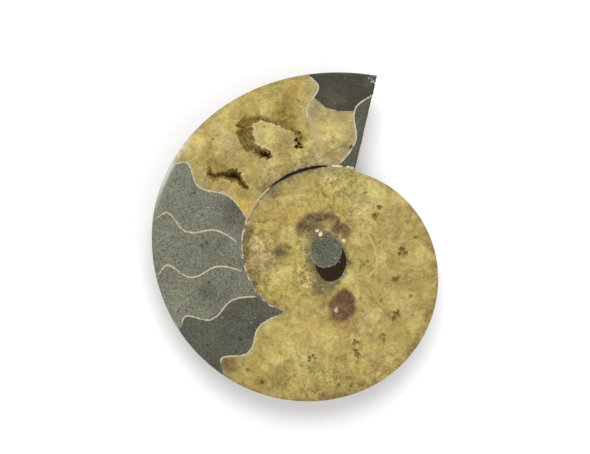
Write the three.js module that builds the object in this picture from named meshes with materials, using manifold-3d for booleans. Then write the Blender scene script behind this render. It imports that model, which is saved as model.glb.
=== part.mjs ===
// One half of an ammonite fossil, sawn through the plane of its coil and polished. It lies on its
// natural flank with the sawn face up. The shell grew as one tube wound on the axis, each whorl
// lapping over the one before, and it has turned to stone all through, so it is a single solid.
// The tube is lofted whorl by whorl, joined, and sawn in half. Then the open pockets are cut.
import * as THREE from "three";
import { mergeVertices } from "three/addons/utils/BufferGeometryUtils.js";
import Module from "manifold-3d";

const wasm = await Module();
wasm.setup();

// Driving dimensions, in millimetres and degrees. The coil's axis is Z and the sawn face is z = 0.
// "back" is how many degrees a place lies back along the coil from the aperture.
const THICKNESS = 10.5; // sawn face to the crest of the last whorl's flank
const APERTURE_AT = 75; // direction of the aperture, counter-clockwise from +X
const LOFT_START = -15; // the lofted tube starts this far back, in front of the break
// The venter, the outer edge of the whorl, is a spiral that grows evenly. On the side away from
// the aperture it swells out a little from that spiral.
const APERTURE_RADIUS = 39.8;
const WHORL_RATIO = 2.1; // how much the radius grows in one turn
const SWELL = 4.1; // the most that it stands outside the even spiral
const SWELL_GROWS = [0, 95]; // back from which it grows, and where it is full
const SWELL_FADES = [205, 355]; // back from which it fades, and where it is gone
const THICKNESS_RATIO = 0.62; // thickness of a whorl, as a share of the next one's
const TAPER_START = 215; // back from which the last whorl gets thinner
const TURNS_BACK = 1185; // back of the first whorl's tip
const UMBILICUS = 0.2; // inner edge of a whorl's flank, as a share of its venter radius
const CREST = 0.6; // where the flank is thickest, from 0 at the venter to 1 at the inner edge
const INNER_FULLNESS = 0.6; // how full the flank stays from its crest to the inner edge; 1 is round
const RIM_BEVEL = 0.5; // width rounded off the sawn edge by polishing
const RIM_DROP = 0.7;
const MOST_BEVEL = 0.1; // the bevel is never more than this share of the venter radius
const MOST_DROP = 0.25; // nor the drop more than this share of the flank's depth
const ABOVE_SAW = 1; // the lofted tube stands this far above the saw's plane
const FIRST_CHAMBER_RADIUS = 1.6;
const OUTER_STEPS = 8; // facets of the flank from the venter to its crest
const INNER_STEPS = 5; // and from the crest to its inner edge

// The coil is lofted in pieces of at most half a turn: from back, to back, and rings in between.
// The steps differ, so that the rings of one whorl don't stand in line with those of the next.
const PIECES = [
  [165, 345, 35],
  [345, 525, 29],
  [525, 705, 19],
  [705, 885, 17],
  [885, 1035, 11],
  [1035, TURNS_BACK, 13],
];

// The break at the aperture is a straight line across the last whorl.
const BREAK_TIP = new THREE.Vector2(11.4, 37.9);
const BREAK_FOOT = new THREE.Vector2(7.0, 19.1);

// Pockets that never filled with calcite, each a winding hollow: x, y, radius and depth along it.
const RING_POCKET = [
  [-11.8, 21.4, 0.9, 4.7],
  [-12.7, 21.7, 1.0, 4.8],
  [-13.6, 22.4, 1.0, 3.4],
  [-15.3, 23.2, 1.2, 3.1],
  [-16.3, 24.7, 1.5, 3.3],
  [-16.5, 26.7, 1.6, 3.1],
  [-16.0, 28.6, 1.4, 2.6],
  [-14.4, 29.5, 1.1, 2.2],
  [-12.2, 29.3, 0.9, 2.0],
  [-10.2, 29.2, 1.0, 2.2],
  [-8.5, 29.0, 1.3, 2.2],
  [-7.0, 28.0, 1.3, 1.7],
  [-5.8, 26.4, 1.0, 1.6],
  [-5.1, 24.6, 0.8, 2.2],
  [-5.2, 23.3, 0.6, 1.9],
];
const LOWER_POCKET = [
  [-24.1, 19.4, 0.6, 1.4],
  [-24.0, 17.6, 0.8, 2.4],
  [-22.9, 16.8, 0.9, 2.6],
  [-21.2, 17.5, 1.0, 2.8],
  [-19.4, 17.5, 1.3, 3.9],
  [-18.2, 17.2, 1.3, 4.4],
  [-17.5, 16.0, 0.9, 4.0],
  [-16.4, 14.6, 0.5, 2.6],
];
const HOLLOW_STEP = 1.0; // distance between the round hollows that make up a pocket

// A thin gap is left open where the last whorl has parted from the whorl inside it.
const GAP = {
  from: 85,
  to: 127,
  radius: 19.3,
  farRadius: 18.2,
  width: 0.7,
  endShare: 0.1, // its width at the ends, as a share of that in the middle
  depth: 1.4,
  steps: 9,
};

function venterRadius(back) {
  if (back > 360) return venterRadius(back - 360) / WHORL_RATIO;
  const grown = THREE.MathUtils.smoothstep(back, ...SWELL_GROWS);
  const faded = THREE.MathUtils.smoothstep(back, ...SWELL_FADES);
  return APERTURE_RADIUS * WHORL_RATIO ** (-back / 360) + SWELL * grown * (1 - faded);
}

// The flank is equally deep from the aperture to TAPER_START, so that the half lies level on it.
function flankDepth(back) {
  if (back > 360) return flankDepth(back - 360) * THICKNESS_RATIO;
  const taper = THREE.MathUtils.smoothstep(back, TAPER_START, 360);
  return THICKNESS * (1 - taper * (1 - THICKNESS_RATIO));
}

// The closed outline of the tube's section at one place, as points of radius and height.
function section(back) {
  const venter = venterRadius(back);
  const inner = venter * UMBILICUS;
  const crest = venter - (venter - inner) * CREST;
  const depth = flankDepth(back);
  const rimDrop = Math.min(RIM_DROP, depth * MOST_DROP);
  const rimBevel = Math.min(RIM_BEVEL, venter * MOST_BEVEL);
  const points = [
    [venter - rimBevel, ABOVE_SAW],
    [venter - rimBevel, 0],
  ];
  for (let i = 0; i <= OUTER_STEPS; i++) {
    const turn = (i / OUTER_STEPS) * (Math.PI / 2);
    points.push([
      crest + (venter - crest) * Math.cos(turn),
      -rimDrop - (depth - rimDrop) * Math.sin(turn),
    ]);
  }
  for (let i = 1; i <= INNER_STEPS; i++) {
    const turn = (i / INNER_STEPS) * (Math.PI / 2);
    points.push([
      crest - (crest - inner) * Math.sin(turn),
      -depth * Math.cos(turn) ** INNER_FULLNESS,
    ]);
  }
  points.push([inner, ABOVE_SAW]);
  return points;
}

// A closed solid from a row of rings with the same number of points, with a flat cap at each end.
function loft(rings) {
  const size = rings[0].length;
  const positions = rings.flat();
  const indices = [];
  for (let r = 0; r < rings.length - 1; r++) {
    for (let i = 0; i < size; i++) {
      const a = r * size + i;
      const b = r * size + ((i + 1) % size);
      indices.push(a, b, a + size, b, b + size, a + size);
    }
  }
  for (const [ring, start, flip] of [
    [rings[0], 0, false],
    [rings.at(-1), (rings.length - 1) * size, true],
  ]) {
    const middle = ring
      .reduce((sum, p) => sum.add(p), new THREE.Vector3())
      .divideScalar(size);
    const centre = positions.push(middle) - 1;
    for (let i = 0; i < size; i++) {
      const edge = [start + i, start + ((i + 1) % size)];
      indices.push(centre, ...(flip ? edge : edge.reverse()));
    }
  }
  return new THREE.BufferGeometry().setFromPoints(positions).setIndex(indices);
}

const WELD = 1e-4; // points nearer than this are one point

function solid(geometry) {
  geometry.deleteAttribute("normal");
  geometry.deleteAttribute("uv");
  const merged = mergeVertices(geometry, WELD);
  return new wasm.Manifold(
    new wasm.Mesh({
      numProp: 3,
      vertProperties: new Float32Array(merged.attributes.position.array),
      triVerts: new Uint32Array(merged.index.array),
    }),
  );
}

// The tube between two places on the coil. It never meets itself in half a turn.
function tube(from, to, steps) {
  const rings = [];
  for (let i = 0; i <= steps; i++) {
    const back = from + ((to - from) * i) / steps;
    const angle = THREE.MathUtils.degToRad(APERTURE_AT + back);
    rings.push(
      section(back).map(
        ([radius, z]) => new THREE.Vector3(radius * Math.cos(angle), radius * Math.sin(angle), z),
      ),
    );
  }
  return solid(loft(rings));
}

const CUTTER = 200; // side of the boxes that cut, well over the half's own size

// A box whose left face stands on the line of the break, to cut away what lies beyond it.
function beyondTheBreak() {
  const along = BREAK_TIP.clone().sub(BREAK_FOOT);
  const lean = Math.atan2(along.y, along.x) - Math.PI / 2;
  const box = new THREE.BoxGeometry(CUTTER, CUTTER, CUTTER);
  box.translate(CUTTER / 2, 0, 0).rotateZ(lean).translate(BREAK_FOOT.x, BREAK_FOOT.y, 0);
  return solid(box);
}

function aboveTheSaw() {
  return solid(new THREE.BoxGeometry(CUTTER, CUTTER, CUTTER).translate(0, 0, CUTTER / 2));
}

// A winding hollow, made of round ones set close together along a smooth line.
function pocket(places) {
  const path = new THREE.CatmullRomCurve3(places.map(([x, y]) => new THREE.Vector3(x, y, 0)));
  const count = Math.round(path.getLength() / HOLLOW_STEP);
  const hollows = Array.from({ length: count + 1 }, (_, i) => {
    const along = (i / count) * (places.length - 1);
    const start = Math.min(Math.floor(along), places.length - 2);
    const [, , radiusBefore, depthBefore] = places[start];
    const [, , radiusAfter, depthAfter] = places[start + 1];
    const [x, y] = path.getPoint(i / count);
    const radius = THREE.MathUtils.lerp(radiusBefore, radiusAfter, along - start);
    const depth = THREE.MathUtils.lerp(depthBefore, depthAfter, along - start);
    const round = new THREE.IcosahedronGeometry(1, 1).scale(radius, radius, depth);
    return solid(round.translate(x, y, 0));
  });
  return hollows.reduce((joined, next) => joined.add(next));
}

// The crescent gap follows the seam between two whorls and is widest in its middle.
function seamGap() {
  const edges = [-1, 1].map((side) =>
    Array.from({ length: GAP.steps + 1 }, (_, i) => {
      const t = i / GAP.steps;
      const angle = THREE.MathUtils.degToRad(THREE.MathUtils.lerp(GAP.from, GAP.to, t));
      const middle = THREE.MathUtils.lerp(GAP.radius, GAP.farRadius, t);
      const open = THREE.MathUtils.lerp(GAP.endShare, 1, Math.sin(Math.PI * t));
      const radius = middle + (side * GAP.width * open) / 2;
      return new THREE.Vector2(radius * Math.cos(angle), radius * Math.sin(angle));
    }),
  );
  const outline = new THREE.Shape([...edges[1], ...edges[0].reverse()]);
  const slot = new THREE.ExtrudeGeometry(outline, {
    depth: GAP.depth + ABOVE_SAW,
    bevelEnabled: false,
  });
  return solid(slot.translate(0, 0, -GAP.depth));
}

function ammoniteHalf() {
  const aperturePart = tube(LOFT_START, PIECES[0][0], PIECES[0][2]).subtract(beyondTheBreak());
  const firstChamber = solid(new THREE.IcosahedronGeometry(FIRST_CHAMBER_RADIUS, 2));
  const whorls = PIECES.reduce(
    (joined, [from, to, steps]) => joined.add(tube(from, to, steps)),
    aperturePart.add(firstChamber),
  );
  const half = whorls.subtract(aboveTheSaw());
  const open = half.subtract(pocket(RING_POCKET)).subtract(pocket(LOWER_POCKET));
  return largestBody(open.subtract(seamGap()));
}

// Where the whorls' ends meet, joining can leave closed slivers of no volume inside the stone.
function largestBody(joined) {
  return joined.decompose().reduce((most, body) => (body.volume() > most.volume() ? body : most));
}

const { vertProperties, triVerts } = ammoniteHalf().getMesh();
const stone = new THREE.BufferGeometry()
  .setAttribute("position", new THREE.BufferAttribute(vertProperties, 3))
  .setIndex(new THREE.BufferAttribute(triVerts, 1));
stone.computeVertexNormals();

const calciteYellow = new THREE.MeshStandardMaterial({
  color: 0xb9a65e,
  roughness: 0.25,
  metalness: 0,
});
const ammonite = new THREE.Mesh(stone, calciteYellow);
ammonite.name = "ammonite_half";

// The part's origin is under the middle of its box, on the surface that the flank rests on.
const box = new THREE.Box3().setFromObject(ammonite);
const middle = box.getCenter(new THREE.Vector3());
ammonite.position.set(-middle.x, -middle.y, -box.min.z);

const part = new THREE.Group();
part.add(ammonite);
export default part;
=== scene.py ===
import math

import bmesh
import bpy
import numpy as np
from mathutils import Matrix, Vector, kdtree, noise
from mathutils.geometry import delaunay_2d_cdt


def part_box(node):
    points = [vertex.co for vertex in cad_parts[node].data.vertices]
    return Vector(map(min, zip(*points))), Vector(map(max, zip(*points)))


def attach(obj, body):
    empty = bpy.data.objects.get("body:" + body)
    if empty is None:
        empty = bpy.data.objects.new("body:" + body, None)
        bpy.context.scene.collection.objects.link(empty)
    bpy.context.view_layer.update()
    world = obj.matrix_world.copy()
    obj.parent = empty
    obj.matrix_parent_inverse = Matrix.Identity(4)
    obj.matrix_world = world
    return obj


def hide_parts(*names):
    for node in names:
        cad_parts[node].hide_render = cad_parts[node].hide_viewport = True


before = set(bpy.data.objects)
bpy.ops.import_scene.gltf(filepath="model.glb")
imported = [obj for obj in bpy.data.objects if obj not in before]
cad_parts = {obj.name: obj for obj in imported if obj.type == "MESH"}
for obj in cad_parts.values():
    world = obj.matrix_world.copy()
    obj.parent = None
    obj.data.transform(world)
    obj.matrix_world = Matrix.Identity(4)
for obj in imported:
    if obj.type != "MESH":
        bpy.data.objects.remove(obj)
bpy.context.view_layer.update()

# ---- The table, the light and the camera ----
# The half lies on a pale table with its sawn face up. One large soft lamp stands beyond it and a
# weaker one opposite, and the camera looks straight down. Lengths here are metres.
MM = 0.001
low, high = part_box("ammonite_half")
scene = bpy.context.scene
scene.view_settings.view_transform = "Standard"

TABLE_SIZE = 3.0
bpy.ops.mesh.primitive_grid_add(x_subdivisions=4, y_subdivisions=4, size=TABLE_SIZE)
table = bpy.context.object
table.name = "table"
table.location.z = low.z
table_paint = bpy.data.materials.new("table_paint")
table_paint.use_nodes = True
table_paint.node_tree.nodes["Principled BSDF"].inputs["Base Color"].default_value = (0.93, 0.93, 0.93, 1)
table_paint.node_tree.nodes["Principled BSDF"].inputs["Roughness"].default_value = 0.8
table.data.materials.append(table_paint)

CAMERA_LENS = 85
PICTURE_WIDTH = 125 * MM  # what the picture takes in across the sawn face
PICTURE_CENTRE = Vector((0, 2.1 * MM))
SKY_STRENGTH = 0.70
camera = bpy.data.objects.new("camera", bpy.data.cameras.new("camera"))
scene.collection.objects.link(camera)
scene.camera = camera
camera.data.lens = CAMERA_LENS
camera_height = PICTURE_WIDTH * CAMERA_LENS / camera.data.sensor_width
camera.location = (PICTURE_CENTRE.x, PICTURE_CENTRE.y, high.z + camera_height)
camera.data.clip_start = 10 * MM

scene.world = bpy.data.worlds.new("studio")
scene.world.use_nodes = True
scene.world.node_tree.nodes["Background"].inputs["Color"].default_value = (1, 1, 1, 1)
scene.world.node_tree.nodes["Background"].inputs["Strength"].default_value = SKY_STRENGTH


def add_lamp(name, azimuth, elevation, distance, size, watts):
    """A square soft lamp that faces the object, with azimuth counter-clockwise from +X."""
    lamp = bpy.data.objects.new(name, bpy.data.lights.new(name, "AREA"))
    lamp.data.size = size
    lamp.data.energy = watts
    across, up = math.radians(azimuth), math.radians(elevation)
    place = Vector((math.cos(across) * math.cos(up), math.sin(across) * math.cos(up), math.sin(up)))
    lamp.location = place * distance
    lamp.rotation_euler = place.to_track_quat("Z", "Y").to_euler()
    scene.collection.objects.link(lamp)


add_lamp("key_lamp", azimuth=92, elevation=57, distance=1.5, size=0.9, watts=14.2)
add_lamp("fill_lamp", azimuth=-38, elevation=45, distance=1.6, size=1.0, watts=5.4)

# ---- The coil ----
# The shape of the half: a tube wound in a flat spiral, each whorl lapping over the one before, and
# sawn through. Lengths are millimetres from the coil's axis on the sawn face, and "back" is how
# many degrees a place lies back along the coil from the aperture.
APERTURE_AT = 75  # the aperture's direction, counter-clockwise from +X
# The venter, the outer edge of the whorl, is a spiral that grows evenly. On the side away from the
# aperture it swells out a little from that spiral.
APERTURE_RADIUS = 39.8
WHORL_RATIO = 2.1  # how many times larger the radius is a whole turn nearer the aperture
SWELL, SWELL_GROWS, SWELL_FADES = 4.1, (0, 95), (205, 355)
THICKNESS = (high.z - low.z) / MM
THICKNESS_RATIO, TAPER_START = 0.62, 215  # each whorl thins to this share in the last part of its turn
UMBILICUS, UMBILICUS_ROUNDING = 0.2, 0.3
CREST = 0.6  # how far in from the venter the whorl is thickest, where 1 is the umbilicus
RIM_DROP, RIM_SLACK = 0.7, 0.5
JOIN_SHARPNESS = 9  # how narrow the rounding is where two whorls meet
WHORLS = 4
FIRST_CHAMBER_RADIUS = 1.6
BREAK_TIP, BREAK_FOOT = np.array((11.4, 37.9)), np.array((7.0, 19.1))


def smoothstep(start, end, values):
    """Goes smoothly from 0 to 1 as the values go from start to end."""
    t = np.clip((values - start) / (end - start), 0, 1)
    return t * t * (3 - 2 * t)


def venter_radius(back):
    """The outer edge of the whorl at that place."""
    turns = np.clip(np.ceil(back / 360 - 1), 0, None)
    on_last = back - 360 * turns
    swell = SWELL * smoothstep(*SWELL_GROWS, on_last) * (1 - smoothstep(*SWELL_FADES, on_last))
    return (APERTURE_RADIUS * WHORL_RATIO ** (-on_last / 360) + swell) / WHORL_RATIO**turns


def whorl_depth(back, radius):
    """How deep one whorl's flank lies under the sawn face, or 0 where that whorl isn't."""
    turns = np.clip(np.ceil(back / 360 - 1), 0, None)
    taper = smoothstep(TAPER_START, 360, back - 360 * turns)
    crest_depth = THICKNESS * (1 - taper * (1 - THICKNESS_RATIO)) * THICKNESS_RATIO**turns
    venter = venter_radius(back)
    inner = venter * UMBILICUS
    crest = venter - (venter - inner) * CREST
    drop = np.minimum(RIM_DROP, crest_depth / 4)
    outward = np.clip((radius - crest) / (venter - crest), 0, 1)
    inward = np.clip((crest - radius) / (crest - inner), 0, 1)
    outer_side = drop + (crest_depth - drop) * np.sqrt(1 - outward**2)
    inner_side = crest_depth * (1 - inward**2) ** UMBILICUS_ROUNDING
    depth = np.where(radius > crest, outer_side, inner_side)
    return np.where((radius > venter + RIM_SLACK) | (radius < inner), 0, depth)


def flank_depth(back, radius):
    """The depth of all the whorls together at that place, rounded off where two meet."""
    whorls = [whorl_depth(back + 360 * turn, radius) for turn in range(WHORLS)]
    whorls.append(np.sqrt(np.clip(FIRST_CHAMBER_RADIUS**2 - radius**2, 0, None)))
    joined = sum(whorl**JOIN_SHARPNESS for whorl in whorls) ** (1 / JOIN_SHARPNESS)
    return np.minimum(joined, THICKNESS)


def polar(x, y, near):
    """The radius and back of a point, with back within half a turn of near."""
    back = np.degrees(np.arctan2(y, x)) - APERTURE_AT
    return np.hypot(x, y), back + 360 * np.round((near - back) / 360)


along_break = (BREAK_TIP - BREAK_FOOT) / np.linalg.norm(BREAK_TIP - BREAK_FOOT)
out_of_break = np.array((along_break[1], -along_break[0]))
nearest_to_axis = BREAK_FOOT - along_break * (BREAK_FOOT @ along_break)


def break_angle(radius):
    """The direction of the point at that radius on the straight line of the break."""
    x, y = nearest_to_axis + along_break * math.sqrt(radius**2 - nearest_to_axis @ nearest_to_axis)
    return math.degrees(math.atan2(y, x))


# The outline runs from the tip of the break once round the coil to the break's foot. From each of
# its points a row of vertices runs over the rim, down the flank and in to a small circle round the
# axis, where the first and the last row meet.
ROWS = 560
TIP_RADIUS, FOOT_RADIUS, CIRCLE_RADIUS = 39.9, 19.2, 7.4
BEVEL = 0.25
BEVEL_STEPS, FLANK_STEPS, INNER_STEPS, DISC_STEPS = 4, 18, 22, 12

row_angles = np.linspace(break_angle(TIP_RADIUS), break_angle(FOOT_RADIUS) + 360, ROWS)
row_radii = venter_radius(row_angles - APERTURE_AT)
row_radii[0], row_radii[-1] = TIP_RADIUS, FOOT_RADIUS
circle_angles = break_angle(CIRCLE_RADIUS) + np.linspace(0, 360, ROWS)


def ring_points(radii, angles):
    """The points at these distances and directions from the axis."""
    return np.c_[radii * np.cos(np.radians(angles)), radii * np.sin(np.radians(angles))]


rim_line = ring_points(row_radii, row_angles)
circle_line = ring_points(CIRCLE_RADIUS, circle_angles)


def along_rows(radii):
    """The points of every row at these distances from the axis."""
    step = circle_line - rim_line
    a = (step**2).sum(1)
    b = (rim_line * step).sum(1)
    c = (rim_line**2).sum(1) - radii**2
    t = (-b - np.sqrt(np.clip(b * b - a * c, 0, None))) / a
    return rim_line + t[:, None] * step


columns = []
for i in range(BEVEL_STEPS + 1):
    turn = math.pi / 2 * i / BEVEL_STEPS
    points = along_rows(row_radii - BEVEL * (1 - math.sin(turn)))
    columns.append(np.c_[points, np.full(ROWS, -RIM_DROP * (1 - math.cos(turn)))])
crest_radii = row_radii * (1 - (1 - UMBILICUS) * CREST)
for i in range(1, FLANK_STEPS + INNER_STEPS + 1):
    if i <= FLANK_STEPS:
        turn = math.pi / 2 * i / FLANK_STEPS
        radii = crest_radii + (row_radii - crest_radii) * math.cos(turn)
    else:
        radii = crest_radii + (CIRCLE_RADIUS - crest_radii) * (i - FLANK_STEPS) / INNER_STEPS
    points = along_rows(radii)
    radius, back = polar(points[:, 0], points[:, 1], row_angles - APERTURE_AT)
    columns.append(np.c_[points, -flank_depth(back, radius)])
for i in range(1, DISC_STEPS):
    share = 1 - i / DISC_STEPS
    points = circle_line * share
    depth = flank_depth(circle_angles - APERTURE_AT, np.full(ROWS, CIRCLE_RADIUS * share))
    columns.append(np.c_[points, -depth])
band = np.stack(columns[:BEVEL_STEPS + 1 + FLANK_STEPS + INNER_STEPS], 1)
disc = np.stack(columns[BEVEL_STEPS + 1 + FLANK_STEPS + INNER_STEPS:], 1)[:-1]
band[-1, -1] = band[0, -1]

# ---- The chamber walls ----
# Thin cream walls of the shell, one behind each chamber. All fold the same way, since each was laid
# down by the same animal: a wall is placed by the angle of its first fold, and how strongly it
# folds. "Across" is 0 at the outer edge of the last whorl and 1 at its seam with the whorl inside.
# The seam follows the outer edge of the whorl inside, a little outside it at the aperture, and it
# turns in towards the axis behind the last mud chamber.
SEAM_LIFT, SEAM_LEVEL_AT = 0.6, 85
SEAM_TUCK, TUCK_FROM, TUCK_TO = 2.6, 140, 195
SEAM_ENDS = (-14, 180)  # its formula holds between these, and is kept level past them
SEAM_ABOUT = 17  # its radius, roughly
# Where a wall turns, and how many degrees it is folded back there. It curves evenly in between,
# and past the last of these it sweeps back ever more steeply.
FOLDS = [(-0.01, 3.7), (0.15, 0.0), (0.39, 5.6), (0.43, 5.6), (0.71, 2.2)]
FOLD_SWEEP = 80
WALL_WIDTH, LOST_WALL_WIDTH, TIP_WIDTH_SHARE = 0.33, 0.2, 0.25
# The angle of the first fold, the size of the folds, and the stretch across that is left of it.
WALLS = {
    "A": (72.1, 1.0, 0.03, 1.0),
    "B": (91.6, 0.85, 0.03, 0.46),
    "lost_1": (110.6, 0.8, 0.03, 0.17),
    "lost_2": (128.2, 0.6, 0.05, 0.17),
    "C": (145.6, 0.95, 0.01, 1.0),
    "D": (164.5, 0.97, 0.012, 0.96),
    "E": (183.4, 1.05, 0.015, 0.97),
    "F": (203.7, 1.06, 0.03, 0.98),
    "G": (225.3, 1.25, 0.10, 0.93),
}


def smooth_through(values, places):
    """Reads a smooth curve through evenly spaced values, at places counted in steps."""
    values = np.asarray(values, float)
    places = np.asarray(places, float)
    before = np.clip(np.floor(places).astype(int), 0, len(values) - 2)
    t = places - before
    if values.ndim > 1:
        t = t[:, None]
    a, b, c, d = (values[np.clip(before + k, 0, len(values) - 1)] for k in (-1, 0, 1, 2))
    curve = 2 * b + (c - a) * t + (2 * a - 5 * b + 4 * c - d) * t**2
    return (curve + (3 * b - a - 3 * c + d) * t**3) / 2


def curve_through(places, count):
    """That many places evenly along a smooth curve through the given ones."""
    return smooth_through(places, np.linspace(0, len(places) - 1, count))


def seam_radius(back):
    """Where the last whorl meets the one inside it."""
    back = np.clip(back, *SEAM_ENDS)
    lift = SEAM_LIFT * (1 - back / SEAM_LEVEL_AT)
    return venter_radius(back + 360) + lift - SEAM_TUCK * smoothstep(TUCK_FROM, TUCK_TO, back)


def wall_angle(name, across):
    """The direction in which a wall stands at each place across the whorl."""
    first_fold, size, _, _ = WALLS[name]
    folded = FOLDS[0][1] + FOLD_SWEEP * np.clip(np.asarray(across) - FOLDS[-1][0], 0, None) ** 2
    for (start, before), (end, after) in zip(FOLDS, FOLDS[1:]):
        folded = folded + (after - before) * smoothstep(start, end, across)
    return first_fold + size * folded


def wall_line(name, start, end, count=70):
    """The line of a wall between two places across the whorl."""
    across = np.linspace(start, end, count)
    angles = wall_angle(name, across)
    outer, inner = venter_radius(angles - APERTURE_AT), seam_radius(angles - APERTURE_AT)
    return ring_points(outer - across * (outer - inner), angles)


def seam_line(start, end, step=0.25):
    """The seam between two angles, with a point about every step millimetres."""
    count = max(4, round(abs(end - start) * math.radians(SEAM_ABOUT) / step))
    angles = np.linspace(start, end, count)
    return ring_points(seam_radius(angles - APERTURE_AT), angles)


def strip_sides(line, widths):
    """The two long sides of a strip of that width along a line."""
    along = np.gradient(line, axis=0)
    along /= np.linalg.norm(along, axis=1)[:, None]
    sideways = np.c_[-along[:, 1], along[:, 0]] * (np.asarray(widths) / 2)[:, None]
    return line + sideways, line - sideways


def tapered(count, width, ends=0.25):
    """Widths along a strip that narrows towards its two ends."""
    t = np.linspace(0, 1, count)
    grown = np.minimum(1, np.minimum(t, 1 - t) / ends) ** 0.5
    return width * (TIP_WIDTH_SHARE + (1 - TIP_WIDTH_SHARE) * grown)


# Each strip is a line, its widths, and what it is made of.
strips = []
for name, (_, _, start, end) in WALLS.items():
    line = wall_line(name, start, end)
    if name.startswith("lost"):
        strips.append((line, tapered(len(line), LOST_WALL_WIDTH, 0.06), "lost_wall"))
    else:
        strips.append((line, tapered(len(line), WALL_WIDTH, 0.06), "wall"))

# The seam shows as a thin line of old shell, as an open crack where the two whorls have parted, and
# as two pale pieces of shell next to the break.
SEAM_STRETCHES = [
    (126.5, 158, 0.36, "seam_shell"), (158, 234, 0.3, "old_wall"), (84.5, 127.5, 0.78, "crack"),
    (77.6, 88.0, 0.45, "pale_shell"), (70.6, 75.6, 0.45, "pale_shell"),
]
for start, end, width, made_of in SEAM_STRETCHES:
    line = seam_line(start, end)
    if made_of == "crack":
        share = np.linspace(0.04, 0.98, len(line))
        ragged = 1 + 0.16 * np.sin(29 * share) + 0.12 * np.sin(67 * share)
        widths = width * np.sin(math.pi * share) ** 0.8 * ragged
    else:
        widths = tapered(len(line), width, 0.1)
    strips.append((line, widths, made_of))

# A stretch of the seam between two whorls further in still shows as a broken line.
INNER_SEAM = [
    (8.0, 6.5), (9.3, 4.8), (10.3, 3.3), (11.0, 1.4), (11.3, -0.4), (11.2, -2.4), (10.3, -3.7),
    (8.8, -4.7), (7.4, -4.6), (5.8, -3.6),
]
INNER_SEAM_WIDTH = 0.32
inner_seam = curve_through(INNER_SEAM, 60)
strips.append((inner_seam, tapered(len(inner_seam), INNER_SEAM_WIDTH), "lost_wall"))
# The outermost fold of wall A, which the break cut off from the rest of it.
TIP_FOLD = np.array([(9.3, 38.35), (9.75, 37.6), (10.3, 36.9), (10.85, 36.0)])
strips.append((TIP_FOLD, tapered(len(TIP_FOLD), WALL_WIDTH), "wall"))

# ---- The fills ----
# Four chambers behind wall C, the outer part of the one behind wall A, and the stub in front of it
# are filled with grey mud stone. Yellow calcite fills the rest, and every whorl inside.
MUD_CHAMBERS = [("C", "D"), ("D", "E"), ("E", "F"), ("F", "G")]
# The level to which mud filled the chamber between walls A and B.
MUD_LEVEL = np.array([
    (-3.0, 34.2), (-1.4, 33.2), (-0.3, 32.2), (0.4, 31.5), (1.3, 31.2), (2.7, 30.95),
    (3.1, 30.65), (4.6, 30.7), (6.3, 30.7), (6.9, 30.7),
])
# The first chambers hold a round plug of mud, the core. A dark crescent of calcite, the core ring,
# shows beside it, and thin grey rims edge them both.
CORE_CENTRE, CORE_RADII = (0.6, 0.95), (3.3, 3.3)
CORE_RING_CENTRE, CORE_RING_RADII = (1.6, -1.15), (3.3, 4.25)
CORE_ROUGHNESS, GREY_RIM_OFFSET = 0.025, 0.3


def closed_loop(centre, radii, count=56, roughness=0.0):
    """The points of an oval, counter-clockwise from +X, with a wavy edge where it is rough."""
    angles = np.linspace(0, 2 * math.pi, count, endpoint=False)
    ripple = 1 + roughness * (np.sin(3 * angles + 1) + 0.7 * np.sin(7 * angles + 2)
                              + 0.5 * np.sin(11 * angles))
    return np.c_[centre[0] + radii[0] * ripple * np.cos(angles),
                 centre[1] + radii[1] * ripple * np.sin(angles)]


# The grey rims run along the lower side of the core and the right side of the crescent.
core = closed_loop(CORE_CENTRE, CORE_RADII, roughness=CORE_ROUGHNESS)
core_ring = closed_loop(CORE_RING_CENTRE, CORE_RING_RADII, roughness=0.012)
core_edge = smooth_through(closed_loop(CORE_CENTRE, CORE_RADII, 48, CORE_ROUGHNESS), np.linspace(21, 46, 40))
ring_edge = closed_loop(CORE_RING_CENTRE, np.array(CORE_RING_RADII) + GREY_RIM_OFFSET, 90)
for line, width in [(core_edge, 0.3), (ring_edge[62:90], 0.24), (ring_edge[2:9], 0.24)]:
    strips.append((line, tapered(len(line), width), "grey_rim"))

# ---- Pockets, pits and cracks ----
# Two pockets near the aperture never filled with calcite. One is a valley round an island of
# calcite, the other a winding hollow. Gentle slopes lead down into both, and there are small pits.
ISLAND = (-10.9, 25.1)
# Direction from the island's middle, its radius there, how deep the valley is at its foot, the
# valley's width, how steep the outer side is, from 0 to 1, and the width of the island's own slope.
RING_VALLEY = np.array([
    (-22, 5.9, 0.0, 1.0, 0.5, 0.5), (-10, 5.9, 0.9, 1.4, 0.3, 0.35), (6, 5.2, 1.3, 1.8, 0.0, 0.35),
    (22, 4.0, 1.6, 2.7, 0.0, 0.4), (40, 3.1, 1.9, 3.4, 0.0, 0.4), (62, 2.9, 2.3, 2.4, 0.0, 0.3),
    (85, 2.9, 2.1, 1.6, 0.0, 0.3), (110, 3.5, 2.0, 1.4, 0.0, 0.3), (130, 4.6, 1.8, 1.9, 0.1, 0.5),
    (145, 4.9, 2.4, 2.7, 0.5, 1.6), (165, 4.0, 3.1, 3.4, 1.0, 2.4), (185, 3.7, 3.3, 3.2, 1.0, 2.6),
    (200, 3.7, 3.2, 2.5, 1.0, 2.2), (214, 3.3, 2.8, 1.8, 1.0, 1.6), (228, 2.8, 3.3, 1.9, 1.0, 1.4),
    (242, 2.7, 4.2, 2.1, 1.0, 1.2), (256, 2.9, 4.6, 1.8, 1.0, 0.8), (264, 3.2, 3.6, 1.3, 1.0, 0.6),
    (272, 3.5, 0.0, 0.5, 1.0, 0.5), (338, 5.9, 0.0, 1.0, 0.5, 0.5),
])
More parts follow.
